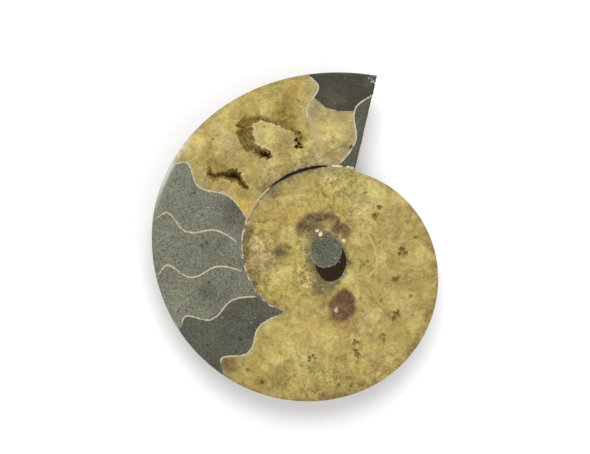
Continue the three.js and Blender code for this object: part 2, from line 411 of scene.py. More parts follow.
# x, y, half its width and its depth, along the winding hollow
LOWER_POCKET = [
    (-24.1, 18.4, 0.4, 1.6), (-24.0, 17.4, 0.65, 3.0), (-22.9, 16.9, 0.75, 2.6), (-21.5, 17.3, 0.7, 2.8),
    (-20.3, 17.2, 0.95, 3.6), (-19.2, 17.1, 1.25, 4.4), (-18.4, 16.9, 1.0, 4.4), (-17.7, 16.0, 0.65, 3.8),
    (-17.0, 15.1, 0.5, 3.2), (-16.3, 14.5, 0.35, 2.4),
]
# x, y, radius and depth of the gentle slopes
SLOPES = [
    (-6.6, 34.6, 1.2, 0.7), (-7.2, 33.0, 1.3, 1.0), (-7.9, 31.6, 1.4, 1.5), (-8.8, 30.4, 1.5, 1.6),
    (-9.9, 29.3, 1.2, 1.2), (-7.6, 28.8, 1.5, 1.2), (-12.2, 29.5, 1.1, 0.4), (-14.8, 29.9, 1.3, 0.5),
    (-17.2, 29.4, 1.5, 0.45), (-24.9, 22.6, 1.0, 0.35), (-24.5, 20.7, 1.1, 0.6),
    (-24.1, 19.3, 1.2, 1.2), (-22.9, 18.6, 1.3, 1.2), (-21.4, 18.5, 1.1, 0.9),
]
# x, y, radius and depth of the small pits
PITS = [
    (11.9, 10.3, 0.5, 1.0), (10.9, 8.3, 0.6, 1.0), (11.5, 8.8, 0.35, 0.7), (16.7, 1.3, 0.6, 1.0),
    (17.3, 0.6, 0.5, 0.8), (16.2, 0.4, 0.4, 0.7), (15.3, -5.0, 0.6, 0.9), (15.6, -12.3, 0.6, 1.0),
    (15.0, -13.2, 0.4, 0.8), (12.6, -17.0, 0.7, 0.8), (12.9, -17.9, 0.4, 0.6), (6.8, -18.3, 0.5, 0.8),
    (7.2, -20.9, 0.6, 0.9), (6.9, -20.0, 0.4, 0.7), (-2.8, -21.6, 0.4, 0.8), (-2.1, -21.3, 0.35, 0.8),
    (-2.9, -22.2, 0.3, 0.7), (-1.7, -21.8, 0.25, 0.6), (-13.0, -26.8, 0.4, 0.7), (-8.2, 31.8, 0.32, 1.4),
    (-5.1, 25.9, 0.4, 1.8), (-4.8, 25.0, 0.45, 2.0), (-5.6, 24.6, 0.4, 2.0), (-5.0, 23.9, 0.5, 2.2),
    (-5.6, 23.2, 0.4, 1.9), (-4.7, 23.0, 0.35, 1.6), (-17.6, -17.6, 0.35, 0.5), (-24.6, -19.1, 0.3, 0.4),
    (-24.7, 2.6, 0.4, 0.5), (-25.7, 1.9, 0.4, 0.5), (18.6, -8.6, 0.4, 0.6), (9.4, -1.3, 0.3, 0.5),
    (8.6, -1.9, 0.25, 0.4), (-16.0, -24.2, 0.4, 0.6), (3.2, -27.4, 0.4, 0.6), (19.5, 3.9, 0.4, 0.5),
    (8.9, 13.4, 0.3, 0.5), (-23.4, 24.8, 0.25, 0.5), (5.8, 23.1, 0.35, 0.7), (7.9, -9.2, 0.4, 0.5),
    (12.2, -9.6, 0.35, 0.5), (18.8, -3.2, 0.35, 0.4), (-24.2, -5.6, 0.3, 0.4), (-29.0, -11.6, 0.3, 0.4),
    (-21.6, 14.0, 0.25, 0.3), (-26.4, 6.0, 0.25, 0.3), (-22.0, 2.2, 0.25, 0.3), (-32.6, 2.0, 0.25, 0.3),
]
# x, y, half its width and its depth, along a short crack left of the core
SHORT_CRACK = [
    (-9.3, 2.9, 0.1, 0.3), (-8.9, 2.3, 0.14, 0.4), (-7.7, 1.9, 0.16, 0.4), (-6.9, 1.6, 0.16, 0.5),
    (-6.2, 1.9, 0.14, 0.4), (-5.6, 2.5, 0.18, 0.5), (-4.9, 3.1, 0.18, 0.5), (-4.2, 3.5, 0.14, 0.4),
]
CRACK_DEPTH = 0.9


def ripples(points, size, seed=0.0):
    """Smooth random heights from about -1 to 1, with bumps of that size."""
    return np.array([noise.noise(Vector((x / size, y / size, seed))) for x, y in points[:, :2]]) * 1.6


def hollow_depth(points, places, ragged=0.22, steep=2.8):
    """How far a winding hollow with ragged edges reaches down under each point."""
    path = curve_through(places, 110)
    ripple = 1 + ragged * ripples(points, 0.75) + 0.8 * ragged * ripples(points, 0.3, 7)
    apart = np.hypot(points[:, None, 0] - path[:, 0], points[:, None, 1] - path[:, 1])
    share = np.clip(apart / (path[:, 2] * ripple[:, None]), 0, 1)
    return (path[:, 3] * np.sqrt(1 - share**steep)).max(1)


def off_island(points):
    """How far outside the island's ragged edge each point lies, and its row of the valley's table."""
    x, y = points[:, 0] - ISLAND[0], points[:, 1] - ISLAND[1]
    first = RING_VALLEY[0, 0]
    direction = (np.degrees(np.arctan2(y, x)) - first) % 360 + first
    row = [np.interp(direction, RING_VALLEY[:, 0], RING_VALLEY[:, k]) for k in range(1, 6)]
    ragged = 0.3 * ripples(points, 0.8, 3) + 0.25 * ripples(points, 0.36, 4)
    return np.hypot(x, y) - row[0] + ragged, row


def valley_depth(points):
    """How deep the valley round the island of calcite is under each point."""
    outward, (_, floor, width, steep, slope) = off_island(points)
    share = np.clip(outward / (width + 0.3 * ripples(points, 1.1, 5)), 0, 1)
    outer_side = (1 - steep) * (1 - share)**1.4 + steep * np.sqrt(1 - share**5)
    island_side = 0.45 * smoothstep(0, 0.4, outward) + 0.55 * smoothstep(0, 1, outward / slope)
    return floor * island_side * outer_side


def spots(points, places, ragged=0.3, size=1.6):
    """Soft spots given as x, y, radius and strength. Where they overlap, the strongest counts."""
    x = points[:, 0] + ragged * size * ripples(points, size, 20)
    y = points[:, 1] + ragged * size * ripples(points, size, 30)
    strengths = [s * np.exp(-(np.hypot(x - px, y - py) / r)**3) for px, py, r, s in places]
    return np.max(strengths, 0)


def distance_to_line(points, line):
    """The distance to the nearest point of a line, and that point's number along the line."""
    tree = kdtree.KDTree(len(line))
    for i, (x, y) in enumerate(line):
        tree.insert((x, y, 0), i)
    tree.balance()
    found = [tree.find((x, y, 0)) for x, y in points[:, :2]]
    return np.array([f[2] for f in found]), np.array([f[1] for f in found])


def pocket_depth(points):
    """The depth of both pockets, with the slopes that lead down into them."""
    bowls = np.maximum(valley_depth(points), hollow_depth(points, LOWER_POCKET))
    return np.hypot(bowls, spots(points, SLOPES, 0.35, 1.2))


crack_line, crack_widths = next((line, widths) for line, widths, made_of in strips if made_of == "crack")


def relief(points):
    """How far the sawn face is hollowed out under each point."""
    pockets = pocket_depth(points)
    torn = 1 + 0.5 * ripples(points, 0.45, 60)
    pits = [d * np.sqrt(np.clip(1 - ((points[:, 0] - x)**2 + (points[:, 1] - y)**2) / (r * torn)**2, 0, 1))
            for x, y, r, d in PITS]
    apart, nearest = distance_to_line(points, crack_line)
    across = np.clip(apart / (crack_widths[nearest] / 2), 0, 1)
    crack = CRACK_DEPTH * np.sqrt(1 - across**2)
    short_crack = hollow_depth(points, SHORT_CRACK, 0.1)
    return np.max([pockets, crack, short_crack, *pits], 0)


# ---- The sawn face ----
# The face was sawn, ground and polished, so it is flat but for the hollows. Its mesh follows every
# chamber wall, and is finer round the pockets.
FACE_STEP, FINE_STEP, PIT_STEP, EDGE_STEP = 0.44, 0.23, 0.17, 0.32
FINE_ZONE = 2.3  # how far from the pockets' middle lines the mesh is fine
LINE_CLEARANCE = 0.12  # how far the lines on the face keep from its outline
CLOSEST = 0.6  # free points keep this share of a step from the others
FACE_SPAN = (-37, -31), (25, 40)  # two corners of a rectangle round the face
POCKETS_SPAN = (-28, 12), (-2, 35)  # and of one round both pockets
ANGLES_FROM = 60  # directions on the last whorl are counted from here, in front of the break
MUD_ENDS_AT = 260  # no mud lies past this direction
rng = np.random.default_rng(7)

# The top edge of the break is worn back a little, unevenly.
edge_count = round(np.linalg.norm(band[0, 0] - band[-1, 0]) / EDGE_STEP)
edge_share = np.linspace(0, 1, edge_count + 1)[1:-1, None]
top_edge = band[-1, 0, :2] + (band[0, 0, :2] - band[-1, 0, :2]) * edge_share
top_edge -= out_of_break * (0.06 + 0.05 * ripples(top_edge, 1.1))[:, None]
outline = np.concatenate([band[:, 0, :2], top_edge])


def inside(points, polygon):
    """Whether each point lies inside a closed polygon."""
    start, end = polygon, np.roll(polygon, -1, 0)
    result = np.zeros(len(points), bool)
    for (x0, y0), (x1, y1) in zip(start, end):
        if y0 != y1:
            crosses = (y0 > points[:, 1]) != (y1 > points[:, 1])
            result ^= crosses & (points[:, 0] < (x1 - x0) * (points[:, 1] - y0) / (y1 - y0) + x0)
    return result


def scattered(start, end, step):
    """Points in staggered rows over a rectangle, each moved a little at random."""
    points = []
    for i, y in enumerate(np.arange(start[1], end[1], step * 0.87)):
        points += [(x + step / 2 * (i % 2), y) for x in np.arange(start[0], end[0], step)]
    return np.array(points) + rng.uniform(-0.22, 0.22, (len(points), 2)) * step


def apart_from(points, others, distance):
    """The points that lie further than that from all the others."""
    return points[distance_to_line(points, others)[0] > distance]


constraints = [(outline, True)]
for line, widths, made_of in strips:
    for side in strip_sides(line, widths):
        keep = inside(side, outline) & (distance_to_line(side, outline)[0] > LINE_CLEARANCE)
        constraints.append((side[keep], False))
constraints.append((crack_line, False))
constraints.append((MUD_LEVEL[1:-1], False))
constraints += [(core, True), (core_ring, True)]

face_points, face_edges = [], []
for points, closed in constraints:
    first = sum(len(p) for p in face_points)
    face_points.append(points)
    face_edges += [(first + i, first + i + 1) for i in range(len(points) - 1)]
    if closed:
        face_edges.append((first + len(points) - 1, first))
fixed_points = np.concatenate(face_points)

valley_angles = np.linspace(-14, 272, 150)
valley_middles = RING_VALLEY[:, 1] + RING_VALLEY[:, 3] * 0.35
valley_radii = np.interp(valley_angles, RING_VALLEY[:, 0], valley_middles)
valley_line = ISLAND + ring_points(valley_radii, valley_angles)
lower_line = curve_through(LOWER_POCKET, 80)[:, :2]
pocket_line = np.concatenate([valley_line, lower_line])
coarse = scattered(*FACE_SPAN, FACE_STEP)
fine = scattered(*POCKETS_SPAN, FINE_STEP)
coarse = coarse[distance_to_line(coarse, pocket_line)[0] > FINE_ZONE]
fine = fine[distance_to_line(fine, pocket_line)[0] <= FINE_ZONE]
for x, y, radius, _ in PITS:
    reach = 1.5 * radius
    fine = np.concatenate([fine, scattered((x - reach, y - reach), (x + reach, y + reach), PIT_STEP)])
coarse = apart_from(coarse, fine, FACE_STEP * CLOSEST)
free_points = np.concatenate([coarse, fine])
free_points = apart_from(free_points[inside(free_points, outline)], fixed_points, FINE_STEP * CLOSEST)


def triangulated(points, edges, count, tolerance):
    """Joins points by triangles that keep to the edges. The last list gives, for each point, its
    number among the first ones, or -1 if it isn't one of them."""
    given = [Vector(point) for point in points]
    flat, _, triangles, sources, _, _ = delaunay_2d_cdt(given, edges, [], 1, tolerance)
    number = np.full(len(flat), -1)
    for i, originals in enumerate(sources):
        for original in originals:
            if original < count:
                number[i] = original
    return np.array(flat), np.array(triangles), number


# Each point of the outline keeps its number, so that the rim and the break can share it.
face_given = np.concatenate([fixed_points, free_points])
face_xy, face_triangles, outline_number = triangulated(face_given, face_edges, len(outline), 1e-5)


def on_whorl(points):
    """The direction and radius of each point, the rim's and the seam's radius, and how far across it is."""
    angle = np.degrees(np.arctan2(points[:, 1], points[:, 0])) % 360
    angle = np.where(angle < ANGLES_FROM, angle + 360, angle)
    radius = np.hypot(points[:, 0], points[:, 1])
    outer, inner = venter_radius(angle - APERTURE_AT), seam_radius(angle - APERTURE_AT)
    return angle, radius, outer, inner, np.clip((outer - radius) / (outer - inner), 0, 1)


def stone_kind(points):
    """What the half is made of at each point of the sawn face."""
    angle, radius, _, inner, across = on_whorl(points)
    on_last_whorl = (radius > inner) & (angle < MUD_ENDS_AT)
    kinds = np.full(len(points), "calcite", dtype="U12")
    for front, back in MUD_CHAMBERS:
        between = (angle > wall_angle(front, across)) & (angle < wall_angle(back, across))
        kinds[on_last_whorl & between] = "mud"
    between = (angle > wall_angle("A", across)) & (angle < wall_angle("B", across))
    above = points[:, 1] > np.interp(points[:, 0], MUD_LEVEL[:, 0], MUD_LEVEL[:, 1])
    kinds[on_last_whorl & between & above] = "dark_mud"
    kinds[on_last_whorl & (angle < wall_angle("A", across))] = "dark_mud"
    kinds[inside(points, core_ring)] = "core_ring"
    kinds[inside(points, core)] = "core"
    for line, widths, made_of in strips:
        apart, nearest = distance_to_line(points, line)
        kinds[apart < widths[nearest] / 2] = made_of
    return kinds


face_kinds = stone_kind(face_xy[face_triangles].mean(1))

# ---- The break ----
# The aperture's end is a straight break across the last whorl, through the mud that fills it. It is
# rough, because the stone snapped there and was never ground.
BREAK_STEP, BREAK_ROUGHNESS, SMOOTH_EDGE = 0.5, 0.22, 1.2
EDGE_WEAR = 0.05
top_edge_points = np.c_[top_edge, np.full(len(top_edge), -EDGE_WEAR)]
break_rim = np.concatenate([band[0], band[-1, -2::-1], top_edge_points])


def on_break_plane(points):
    """How far along the break each point lies, and its height."""
    return np.c_[(points[:, :2] - nearest_to_axis) @ along_break, points[:, 2]]


break_outline = on_break_plane(break_rim)
break_scatter = scattered(break_outline.min(0), break_outline.max(0), BREAK_STEP)
break_scatter = break_scatter[inside(break_scatter, break_outline)]
break_scatter = apart_from(break_scatter, break_outline, BREAK_STEP * 0.5)
break_given = np.concatenate([break_outline, break_scatter])
ring = [(i, (i + 1) % len(break_rim)) for i in range(len(break_rim))]
break_flat, break_triangles, break_number = triangulated(break_given, ring, len(break_rim), 1e-6)
off_edge = np.clip(distance_to_line(break_flat, break_outline)[0] / SMOOTH_EDGE, 0, 1)
lumps = ripples(break_flat, 2.2, 40) + 0.5 * ripples(break_flat, 0.7, 41)
proud = BREAK_ROUGHNESS * off_edge * (lumps - 0.6)
break_xy = nearest_to_axis + break_flat[:, :1] * along_break + proud[:, None] * out_of_break
break_points = np.c_[break_xy, break_flat[:, 1]]

# ---- The flank ----
# The hidden side keeps the shell's own surface, with low sinuous growth ribs. It was never cut, and
# the half rests on it. "Across" is 0 at the rim here, and 1 at the umbilicus.
RIB_EVERY, RIB_DEPTH = 5.2, 0.16
RIB_BEND, RIB_WAVES, RIB_LEAN = 9, 1.35, 5
RIBS_END = (36, 43)  # the columns between which the ribs fade out
flank_back = (row_angles - APERTURE_AT)[:, None] + 0 * band[:, :, 0]
flank_radius = np.hypot(band[:, :, 0], band[:, :, 1])
flank_across = 1 - (flank_radius / row_radii[:, None] - UMBILICUS) / (1 - UMBILICUS)
rib_bend = RIB_BEND * np.sin(math.pi * RIB_WAVES * flank_across) - RIB_LEAN * flank_across
rib_height = 0.5 + 0.5 * np.cos(2 * math.pi * (flank_back + rib_bend) / RIB_EVERY)
ends = smoothstep(0, 2, np.arange(ROWS)) * smoothstep(0, 2, ROWS - 1 - np.arange(ROWS))
columns_at = np.arange(band.shape[1])
down = smoothstep(BEVEL_STEPS, BEVEL_STEPS + 5, columns_at) * (1 - smoothstep(*RIBS_END, columns_at))
fade = ends[:, None] * down
outward = np.cross(np.gradient(band, axis=0), np.gradient(band, axis=1))
outward /= np.linalg.norm(outward, axis=2)[:, :, None] + 1e-9
outward *= np.sign((outward * np.array((0, 0, -1)) + 1e-3 * band * np.array((1, 1, 0))).sum(2))[:, :, None]
band -= outward * (RIB_DEPTH * (1 - rib_height) * fade)[:, :, None]
band[-1, -1] = band[0, -1]

# ---- One closed stone ----
# The face, the rim, the flank and the break share their edges, so that the half is one closed body.
# Their points are joined in one list, block by block, and no block repeats what another holds.
SLOPE_AT_RIM = 0.15  # share of a slope's depth by which it lowers the rim where it reaches it
COLUMNS = band.shape[1]
DISC_RINGS = disc.shape[1]
face_own = outline_number < 0
break_own = break_number < 0
face_depth = relief(face_xy[face_own])
band[:, 0, 2] -= relief(band[:, 0, :2]) * SLOPE_AT_RIM
blocks = [
    band.reshape(-1, 3),
    disc.reshape(-1, 3),
    np.array([[0, 0, -flank_depth(np.zeros(1), np.zeros(1))[0]]]),
    top_edge_points,
    np.c_[face_xy[face_own], -face_depth],
    break_points[break_own],
]
starts = np.cumsum([0] + [len(block) for block in blocks])
points = np.concatenate(blocks)


def band_number(row, column):
    """The number of a band point. The first and the last row share their inmost point."""
    last = (row == ROWS - 1) & (column == COLUMNS - 1)
    return np.where(last, COLUMNS - 1, row * COLUMNS + column)


face_lookup = np.zeros(len(face_xy), int)
face_lookup[face_own] = starts[4] + np.arange(face_own.sum())
shared = outline_number[~face_own]
face_lookup[~face_own] = np.where(shared < ROWS, shared * COLUMNS, starts[3] + shared - ROWS)

break_lookup = np.zeros(len(break_flat), int)
break_lookup[break_own] = starts[5] + np.arange(break_own.sum())
shared = break_number[~break_own]
foot_side = 2 * COLUMNS - 1
on_last_row = (ROWS - 1) * COLUMNS + foot_side - 1 - shared
on_top_edge = starts[3] + shared - foot_side
break_lookup[~break_own] = np.where(
    shared < COLUMNS, shared, np.where(shared < foot_side, on_last_row, on_top_edge))

row, column = np.divmod(np.arange((ROWS - 1) * (COLUMNS - 1)), COLUMNS - 1)
band_faces = np.stack([band_number(row, column), band_number(row + 1, column),
                       band_number(row + 1, column + 1), band_number(row, column + 1)], 1)
turn = np.arange(ROWS - 1)
after = (turn + 1) % (ROWS - 1)
disc_faces = [np.stack([turn * COLUMNS + COLUMNS - 1, after * COLUMNS + COLUMNS - 1,
                        starts[1] + after * DISC_RINGS, starts[1] + turn * DISC_RINGS], 1)]
for i in range(DISC_RINGS - 1):
    disc_faces.append(starts[1] + np.stack([turn * DISC_RINGS + i, after * DISC_RINGS + i,
                                            after * DISC_RINGS + i + 1, turn * DISC_RINGS + i + 1], 1))
disc_faces = np.concatenate(disc_faces)
inmost = starts[1] + DISC_RINGS - 1
middle = np.full(ROWS - 1, starts[2])
middle_faces = np.stack([inmost + turn * DISC_RINGS, inmost + after * DISC_RINGS, middle], 1)

polygons = [*band_faces.tolist(), *disc_faces.tolist(), *middle_faces.tolist(),
            *face_lookup[face_triangles].tolist(), *break_lookup[break_triangles].tolist()]
rim_centres = points[band_faces].mean(1)
band_kinds = np.where(column < BEVEL_STEPS, stone_kind(rim_centres), "shell")
kinds = np.concatenate([
    band_kinds, np.full(len(disc_faces) + len(middle_faces), "shell"), face_kinds,
    np.full(len(break_triangles), "broken_mud"),
])

# The coil's axis on the sawn face, in the frame.
axis_place = np.array(low) + np.array((*-rim_line.min(0), THICKNESS)) * MM
stone_mesh = bpy.data.meshes.new("ammonite_stone")
stone_mesh.from_pydata((points * MM + axis_place).tolist(), [], polygons)
stone = bpy.data.objects.new("ammonite_stone", stone_mesh)
scene.collection.objects.link(stone)

# ---- What shows on the sawn face ----
# Places where the stone's colour changes: iron stains, honey-coloured and milky calcite, the pale
# lining along the walls, and mud of several shades, and some painted highlights. Each soft patch is
# given as x, y, its radius and its strength.
PATCHES = {
    # the haze under the arch and its right foot, the smudge left of the core, the inner side of
    # the seam, and the rim
    "stain": [
        (-3.0, 6.5, 2.2, 0.7), (-0.5, 6.5, 2.2, 0.65),
        (3.0, 6.0, 1.5, 1.1), (4.5, 5.5, 1.5, 1.1), (-9.0, 1.0, 1.8, 0.6), (-16.0, 4.5, 2.0, 0.6),
        (-16.0, 1.0, 1.5, 0.5), (-20.0, -23.0, 2.5, 0.7), (15.5, -5.0, 1.0, 0.3), (15.5, -13.0, 1.0, 0.3),
        (23.0, -10.0, 2.0, 0.3), (19.5, -19.5, 2.5, 0.4), (1.5, -29.5, 3.0, 0.3), (-9.5, -27.5, 2.5, 0.3),
    ],
    # dirty calcite under the core, and beside its right and upper left edges
    "murky": [
        (-1.0, -7.0, 1.8, 0.9), (1.5, -7.0, 1.5, 0.8), (5.5, -2.0, 1.2, 0.7), (5.0, 3.5, 1.0, 0.6),
        (-3.0, 3.5, 1.2, 0.6), (-11.5, -1.5, 2.5, 0.35),
    ],
    "nodule": [
        (4.5, -9.0, 1.9, 1.2), (3.5, -10.5, 2.2, 1.2), (4.5, -11.0, 2.4, 1.2), (3.5, -12.0, 2.0, 1.1),
        (5.5, -9.5, 1.5, 0.9),
    ],
    "rosy": [(2.5, -11.0, 1.1, 1.0), (3.5, -12.5, 1.2, 1.0), (4.5, -11.0, 1.3, 0.7)],
    # a halo round the nodule, the slopes into the pockets, and the lower rim
    "amber": [
        (1.0, -10.0, 1.5, 0.9), (1.5, -12.5, 1.5, 0.9), (3.0, -14.0, 1.6, 0.8), (5.5, -14.0, 1.8, 0.8),
        (8.0, -11.5, 1.4, 0.5), (-24.5, 22.5, 1.0, 0.5), (-7.0, 34.0, 1.5, 0.5), (-17.5, 30.5, 1.5, 0.3),
        (-12.0, -27.5, 2.5, 0.4), (-1.0, -29.5, 2.5, 0.4), (9.0, -28.0, 2.5, 0.35),
    ],
    # painted highlights: pale specks of reflected light on the nodule, above the core, and in the corner of
    # the lower pocket
    "glints": [
        (2.5, -11.5, 0.5, 0.7), (3.0, -11.0, 0.5, 0.6), (4.0, -13.0, 0.4, 0.5), (-1.5, 5.5, 0.4, 1.4),
        (-0.5, 4.5, 0.4, 1.3), (4.5, 3.5, 0.5, 1.1), (6.5, 9.5, 0.3, 0.9), (-17.5, 15.5, 0.4, 1.6),
        (0.5, 25.0, 0.4, 1.0), (1.5, 16.0, 0.4, 0.8), (5.5, 14.5, 0.3, 0.8), (-14.5, 2.0, 0.4, 0.8),
    ],
    "milky": [
        (-6.0, -19.5, 4.5, 0.5), (-0.5, -18.5, 3.5, 0.4), (-11.5, -2.0, 2.0, 0.6), (-14.5, 2.5, 1.5, 0.7),
        (-9.5, -4.0, 2.0, 0.5), (11.0, 12.0, 4.0, 0.3), (-12.0, 25.5, 2.5, 0.5), (-12.0, 31.5, 2.0, 0.5),
        (-21.0, 24.5, 3.0, 0.5), (5.5, -4.5, 1.4, 0.6), (20.0, -2.0, 3.0, 0.3), (15.0, -20.5, 2.6, 0.3),
        (2.0, 26.0, 2.5, 0.8), (-27.5, 24.0, 3.0, 0.9), (-20.5, 31.0, 2.5, 0.5),
    ],
    "honey": [
        (-8.0, -9.5, 3.5, 0.6), (-3.0, -15.5, 4.5, 0.4), (-16.5, 10.5, 2.0, 1.2), (-10.0, 11.0, 4.0, 0.4),
        (-27.0, 26.0, 2.5, 0.7), (-15.5, 33.5, 4.5, 0.3), (-4.5, -1.5, 1.3, 0.9), (-5.5, 35.5, 2.5, 0.5),
        (-3.5, 32.0, 1.5, 0.5), (-20.0, 30.0, 2.5, 0.4), (1.0, 13.0, 3.0, 0.3), (-6.5, 8.5, 2.5, 0.5),
    ],
    "sage": [
        (1.0, 28.0, 3.0, 0.5), (3.5, 24.0, 2.5, 0.5), (-8.5, 25.5, 3.0, 0.5), (-15.0, 16.0, 3.0, 0.4),
        (-5.0, -12.5, 3.5, 0.6), (-13.5, 12.0, 2.0, 0.4), (-4.0, -24.0, 4.0, 0.4), (-2.0, -9.0, 1.8, 0.5),
        (9.0, -9.0, 2.4, 0.3), (7.0, 12.5, 3.0, 0.2),
    ],
    # along the mud and wall A, above the crack, by the walls B and C, and inside the seam
    "greyish": [
        (-1.5, 32.0, 1.5, 1.0), (-2.0, 30.0, 1.5, 0.9), (1.0, 31.0, 1.4, 0.8), (4.0, 30.0, 1.8, 0.9),
        (6.0, 26.5, 1.3, 0.6), (5.0, 22.5, 1.6, 0.8), (2.0, 21.0, 1.8, 0.6), (-2.0, 20.5, 2.2, 0.5),
        (-2.5, 36.0, 1.2, 0.8), (-19.0, 24.0, 2.5, 0.4), (-15.5, 21.5, 1.0, 0.9), (-26.0, 16.5, 2.0, 0.5),
        (-11.0, 14.0, 2.5, 0.4), (-6.0, 17.0, 1.5, 0.5), (-14.0, -1.0, 2.5, 0.5),
    ],
    "specked": [
        (-3.5, 1.5, 1.3, 1.0), (-3.0, -2.0, 1.5, 1.0), (-1.5, 4.5, 1.2, 0.9), (0.0, -7.0, 1.8, 1.0),
        (5.0, -2.0, 1.0, 0.8), (-11.0, 13.5, 2.0, 0.7), (-7.5, 16.5, 1.5, 0.6), (5.5, 23.0, 1.2, 0.8),
        (-15.5, 3.0, 2.0, 0.6), (-14.5, -4.0, 2.0, 0.6), (-5.0, 24.0, 1.3, 0.9), (-9.0, 1.0, 1.5, 0.6),
        (-10.0, -26.5, 3.0, 0.4), (6.0, -27.0, 3.0, 0.4), (14.0, -22.0, 3.0, 0.3), (18.0, 8.0, 3.0, 0.3),
    ],
    "flecks": [
        (3.5, 14.5, 2.3, 0.9), (2.0, 16.0, 1.5, 0.8), (-5.5, -3.5, 1.8, 1.1), (-3.5, -5.5, 1.6, 1.1),
        (-13.0, 1.5, 2.5, 0.6), (-3.5, 1.0, 1.3, 0.9), (6.5, 10.0, 1.5, 0.6), (1.5, -26.0, 2.0, 0.6),
        (-1.5, 20.5, 1.5, 0.7), (-5.0, 24.0, 1.2, 0.8), (-17.0, 17.5, 1.0, 0.8), (-14.0, 26.0, 1.6, 0.5),
    ],
    "granular": [
        (-10.5, 17.0, 5.0, 1.0), (-4.5, 20.0, 4.0, 1.0), (-14.5, 14.5, 3.5, 1.0), (2.5, 22.5, 3.0, 0.8),
        (0.5, 27.0, 4.0, 0.5), (-11.0, 25.0, 4.0, 0.5), (-13.5, 2.0, 7.0, 0.9), (-10.0, -7.0, 5.0, 0.9),
        (-4.0, 12.0, 6.0, 0.5), (5.0, 14.0, 5.0, 0.8), (-2.0, -27.0, 8.0, 0.8), (10.0, -22.0, 8.0, 0.6),
        (18.0, -5.0, 9.0, 0.5), (10.0, 5.0, 7.0, 0.5),
    ],
    "mottled": [
        (-13.0, 0.0, 5.0, 1.0), (-11.5, -6.0, 4.0, 0.8), (-14.0, 6.0, 3.5, 0.9), (-3.0, -27.0, 5.0, 0.6),
        (2.0, 10.0, 7.0, 0.7), (-3.0, -5.0, 3.5, 0.8), (-4.0, 21.0, 3.0, 0.6), (8.0, -24.0, 6.0, 0.5),
    ],
}
# Mud is darkest by the seam behind wall C, round a soft spot behind wall E, and in the last corner.
DARK_PATCHES = [(-18.5, 9.5, 3.0, 0.42), (-24.5, -7.5, 2.2, 0.35), (-13.0, -15.0, 2.6, 0.2)]
MUD_RIM_HIGHLIGHT_STRENGTH = 0.2  # painted highlight: the mud is painted paler towards the shell's outer edge, where its polished rim catches the light
# The purple-brown arch above the core: x, y, half its width, and strength.
ARCH = [(-5.1, 5.0, 1.1, 0.6), (-4.4, 6.3, 1.5, 0.85), (-3.2, 7.3, 1.5, 0.9), (-1.6, 7.9, 1.2, 0.9),
        (0.1, 8.3, 1.0, 0.8), (1.8, 8.3, 0.9, 0.65), (3.4, 7.3, 1.0, 0.6)]
# Places in the mud that are browner than the rest.
BROWNISH = [
    (-19.5, 8.5, 2.5, 0.9), (-24.0, -2.0, 3.0, 0.5), (-33.5, -4.5, 2.5, 0.6), (9.5, 36.5, 1.2, 0.8),
    (2.5, 33.5, 2.8, 0.6), (-22.5, -8.5, 2.5, 0.4),
]
# How light the mud is behind each wall, in front of wall A, and behind it.
MUD_TONES = {"C": 0.90, "D": 0.88, "E": 0.90, "F": 0.4}
STUB_TONE, FIRST_TONE = 0.36, 0.12
LINING_WIDTH = 1.3
RIM_HIGHLIGHT_AT, RIM_HIGHLIGHT_SPREAD = 149, 13  # painted highlight: the rim by wall C is painted pale where its polish catches the light
CLEAR_CORNER = (-16.9, 10.8, 2.4, 1.0)  # the calcite is clear right up to the walls here

on_top = np.zeros(len(points), bool)
on_top[starts[3]:starts[5]] = True
on_top[:starts[1]] = np.tile(np.arange(COLUMNS) <= BEVEL_STEPS + 1, ROWS)
top = points[on_top]
pit_depth = spots(top, [(x, y, radius, min(1, deep)) for x, y, radius, deep in PITS], 0)

top_angle, top_radius, top_outer, top_inner, top_across = on_whorl(top)
tone = np.where(top_angle < wall_angle("A", top_across), STUB_TONE, FIRST_TONE)
for name, value in MUD_TONES.items():
    tone[top_angle > wall_angle(name, top_across) - 0.4] = value
# Painted highlight: between walls C and F the mud is painted paler near the outer edge, where the polished
# rim catches the light.
mud_rim_highlight = 1 - smoothstep(0, 0.45, top_across)
mud_rim_highlight *= (top_angle > wall_angle("C", top_across)) & (top_angle < wall_angle("F", top_across))
tone += MUD_RIM_HIGHLIGHT_STRENGTH * mud_rim_highlight - spots(top, DARK_PATCHES, 0.3, 2.0)

walls_of_calcite = [wall_line(name, 0, 1) for name in "ABCG"] + [seam_line(73, 160), MUD_LEVEL]
beside_wall = distance_to_line(top, np.concatenate(walls_of_calcite))[0]
off_rim = top_outer - top_radius
beside_crack = distance_to_line(top, seam_line(86, 134))[0]
beside_seam = np.where(top_radius < top_inner, distance_to_line(top, seam_line(134, 236))[0], 9)

marks = {}
for name, places in PATCHES.items():
    marks[name] = spots(top, places, 0.12 if name in ("nodule", "rosy") else 0.3)
marks["stain"] = np.maximum(marks["stain"], spots(top, curve_through(ARCH, 40), 0.15))
marks["brownish"] = spots(top, BROWNISH, 0.3, 2.0)
beside_core = distance_to_line(top, np.concatenate([core, core_ring]))[0] + 0.4 * ripples(top, 0.9, 54)
halo_width = 2.1 - 1.0 * smoothstep(1, 4, top[:, 0])
marks["murky"] = np.maximum(marks["murky"], 0.9 * (1 - smoothstep(0.3, halo_width, beside_core)))
marks["flecks"] = np.maximum(marks["flecks"], 0.6 * (1 - smoothstep(0.2, 0.7, beside_seam)))
marks["lining"] = 1 - smoothstep(0.4, LINING_WIDTH, beside_wall + 0.35 * ripples(top, 0.8, 50))
marks["lining"] *= 1 - spots(top, [CLEAR_CORNER])
